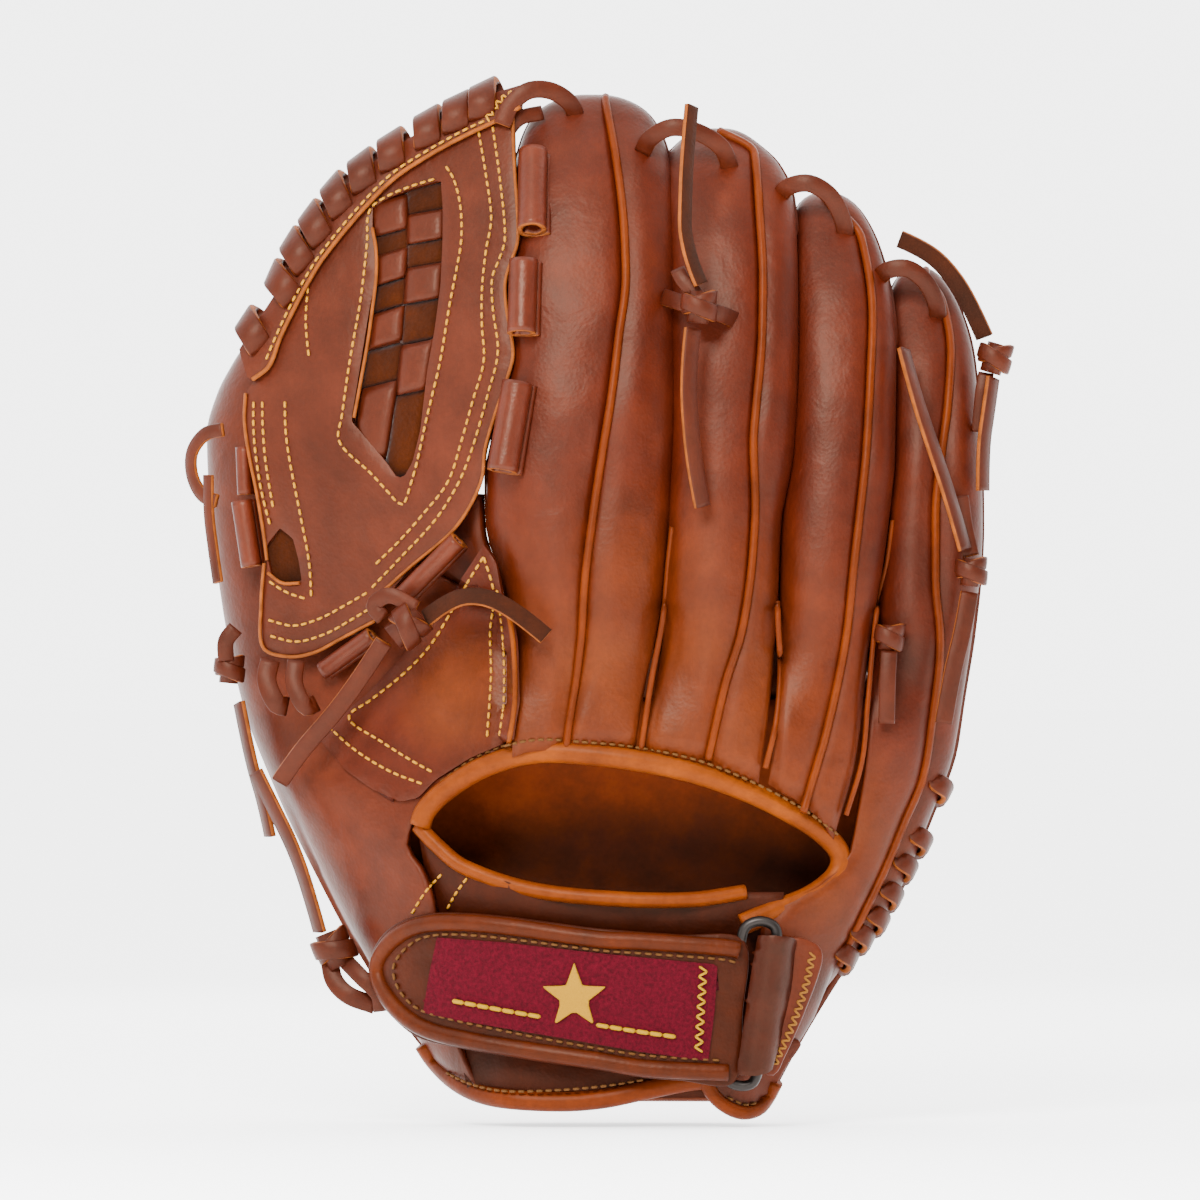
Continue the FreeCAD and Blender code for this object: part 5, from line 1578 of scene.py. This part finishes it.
hand_knot_parts += [lace("stub", [(13.5, -19, 161), (16, -27, 160), (20, -32.5, 158.5), (26, -33.5, 157),
                                  (31, -30, 155.5), (35, -22, 154)], 5.0, 1.9),
                    lace("stub", [(24.5, -36, 160), (19, -35, 166), (17.5, -33.5, 169)], 4.6, 1.8),
                    lace("stub", [(82, -24, 53), (81.5, -25, 44), (81.2, -24.5, 31)], 5.0, 1.9),
                    lace("stub", [(107, -22, 82), (105, -20, 92), (104, -16, 100)], 5.0, 1.9),
                    lace("stub", [(112, -8, 138), (111.0, -9, 132), (110, -8, 120)], 4.8, 1.8),
                    lace("stub", [(-84, -2, -42), (-79, -6, -47), (-74, -6, -52), (-73, -4, -57)], 5.0,
                         1.9),
                    lace("stub", [(-89, 0, -42), (-87.5, -2, -48), (-83, -4, -52.5), (-75, -3, -55.5)], 5.6,
                         1.9)]
ride(join("hand_lace_knots", hand_knot_parts), HAND_BODY, "hand_knots", slot="lace_leather")
thumb_knot_parts = knot("knot", (-65, -27, 60.5), (1, 0, 0.8), 5.6, 5.4) + knot("knot", (-120, 12, 47),
        (0.1, 0, 1), 4.0)
thumb_knot_parts += [lace("stub", [(-72, -25, 63), (-75, -25, 67), (-70, -27, 70), (-62, -28, 66)], 5.0,
                          1.9),
                     lace("loop", [(-107, -9, 50), (-108, -11, 44), (-105, -12, 37), (-102, -10, 36)], 6.0,
                          1.9),
                     lace("loop", [(-99, -11, 50), (-99.5, -13, 43), (-96, -14, 36), (-93, -12, 37)], 5.4,
                          1.9),
                     lace("loop", [(-118, 8, 60), (-121, 8, 56), (-121, 9, 50)], 5.0, 1.9)]
ride(join("thumb_lace_knots", thumb_knot_parts), THUMB_BODY, "thumb_knots", slot="lace_leather")
side_lace = [lace("thumb_loop", [(-122, 10, 121), (-127.6, 13, 119.5), (-131.6, 16, 114), (-131.6, 17, 107),
                                 (-128.5, 15, 101), (-124, 12, 99)], 4.2, 1.9, (-0.7, -0.7, 0)),
             lace("thumb_line", [(-126.5, 12, 107), (-126.3, 13, 95), (-125, 13, 84), (-123.5, 11, 74)],
                  3.6, 1.9, (-0.7, -0.7, 0))]
ride(join("thumb_side_lace", side_lace), THUMB_BODY, "thumb_lace", slot="lace_leather")
bumps = []
for x, z in ((99.8, 10.5), (93.6, -5.5), (89, -13.5), (84.6, -22), (80.4, -29.5), (75.6, -35), (70.6, -41)):
    y = hand_point(z, min(x - 3, row_of(HAND, z)[2] - 1), -1)[1]
    bumps.append(lace("bump", [(x - 5.5, y + 2, z + 3.0), (x - 2.4, y - 1.0, z + 2), (x + 0.4, y + 2, z),
                               (x - 0.6, y + 7, z - 2.5), (x - 4, y + 10, z - 3.5)], 5.8, 2.2,
                               (0.7, -0.7, 0)))
ride(join("heel_spiral_lace", bumps), HAND_BODY, "heel_lacing", slot="lace_leather")


def soft_copy(node, name):
    """A CAD node's own mesh, copied into a piece of its own."""
    copies = []
    for solid in [thing for thing in bpy.context.scene.objects if thing.get("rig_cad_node") == node]:
        mesh = solid.data.copy()
        mesh.transform(solid.matrix_world)
        piece = bpy.data.objects.new(name, mesh)
        bpy.context.scene.collection.objects.link(piece)
        copies.append(piece)
    return join(name, copies)


bend(soft_copy("thumb_lining", "thumb_lining_leather"), "thumb_lining", slot="lining_leather")
bend(soft_copy("thumb_stiffener", "thumb_stiffener_sheet"), "thumb_stiffener", slot="stiffener_plastic")
bend(side_piece, "thumb_back", "thumb_heel_back", slot="shell_leather")
bend(front_piece, "thumb_front", "pocket_leather", slot="shell_leather")

# ---------------------------------------------------------------- stage



def make_stage():
    """Pale floor and soft studio light."""
    floor_z = -92.0
    reach = 15000
    floor = new_object("floor", [(-reach, -reach, floor_z), (reach, -reach, floor_z),
                                 (reach, reach, floor_z), (-reach, reach, floor_z)], [(0, 1, 2, 3)])
    pale, _, _, shader = new_material("pale_floor")
    for socket, value in (("Base Color", (0.93, 0.93, 0.93, 1)), ("Roughness", 1.0),
                          ("Specular IOR Level", 0.0),
                          ("Emission Color", (1, 1, 1, 1)), ("Emission Strength", 1.6)):
        shader.inputs[socket].default_value = value
    floor.data.materials.append(pale)
    world = bpy.data.worlds.new("studio")
    world.use_nodes = True
    nodes = world.node_tree.nodes
    links = world.node_tree.links
    direction = nodes.new("ShaderNodeTexCoord")
    towards = nodes.new("ShaderNodeVectorMath")
    towards.operation = "DOT_PRODUCT"
    towards.inputs[1].default_value = (0.0, 0.75, 0.66)
    links.new(direction.outputs["Generated"], towards.inputs[0])
    strength = map_range(nodes, links, towards.outputs["Value"], From_Min=-0.22, From_Max=0.7, To_Min=0.14,
                         To_Max=4.8)
    links.new(strength.outputs["Result"], nodes["Background"].inputs["Strength"])
    nodes["Background"].inputs["Color"].default_value = (1, 1, 1, 1)
    bpy.context.scene.world = world
    for name, place, size, watts in (("key", (-0.30, -1.25, 0.85), 0.5, 50.0),
            ("fill", (0.9, -1.0, 0.25), 1.0, 2.0),
                                     ("side", (-1.1, -0.35, 0.45), 0.5, 4.0),
                                      ("back", (-0.2, 1.1, 0.7), 1.0, 8.0)):
        light = bpy.data.lights.new(name, "AREA")
        light.energy = watts
        light.size = size
        lamp = bpy.data.objects.new(name, light)
        lamp.location = place
        lamp.rotation_euler = (Vector((0, 0, 0.06)) - Vector(place)).to_track_quat("-Z", "Y").to_euler()
        bpy.context.scene.collection.objects.link(lamp)


def make_camera():
    """Long lens straight at the back of the glove."""
    distance = 4.0
    frame_width = 0.366
    lens = bpy.data.cameras.new("camera")
    lens.sensor_width = 36.0
    lens.lens = 36.0 * (distance - 0.02) / frame_width
    camera = bpy.data.objects.new("camera", lens)
    camera.location = (-0.0061, -distance, 0.0686)
    camera.rotation_euler = (math.radians(90), 0, 0)
    bpy.context.scene.collection.objects.link(camera)
    bpy.context.scene.camera = camera


make_stage()
make_camera()
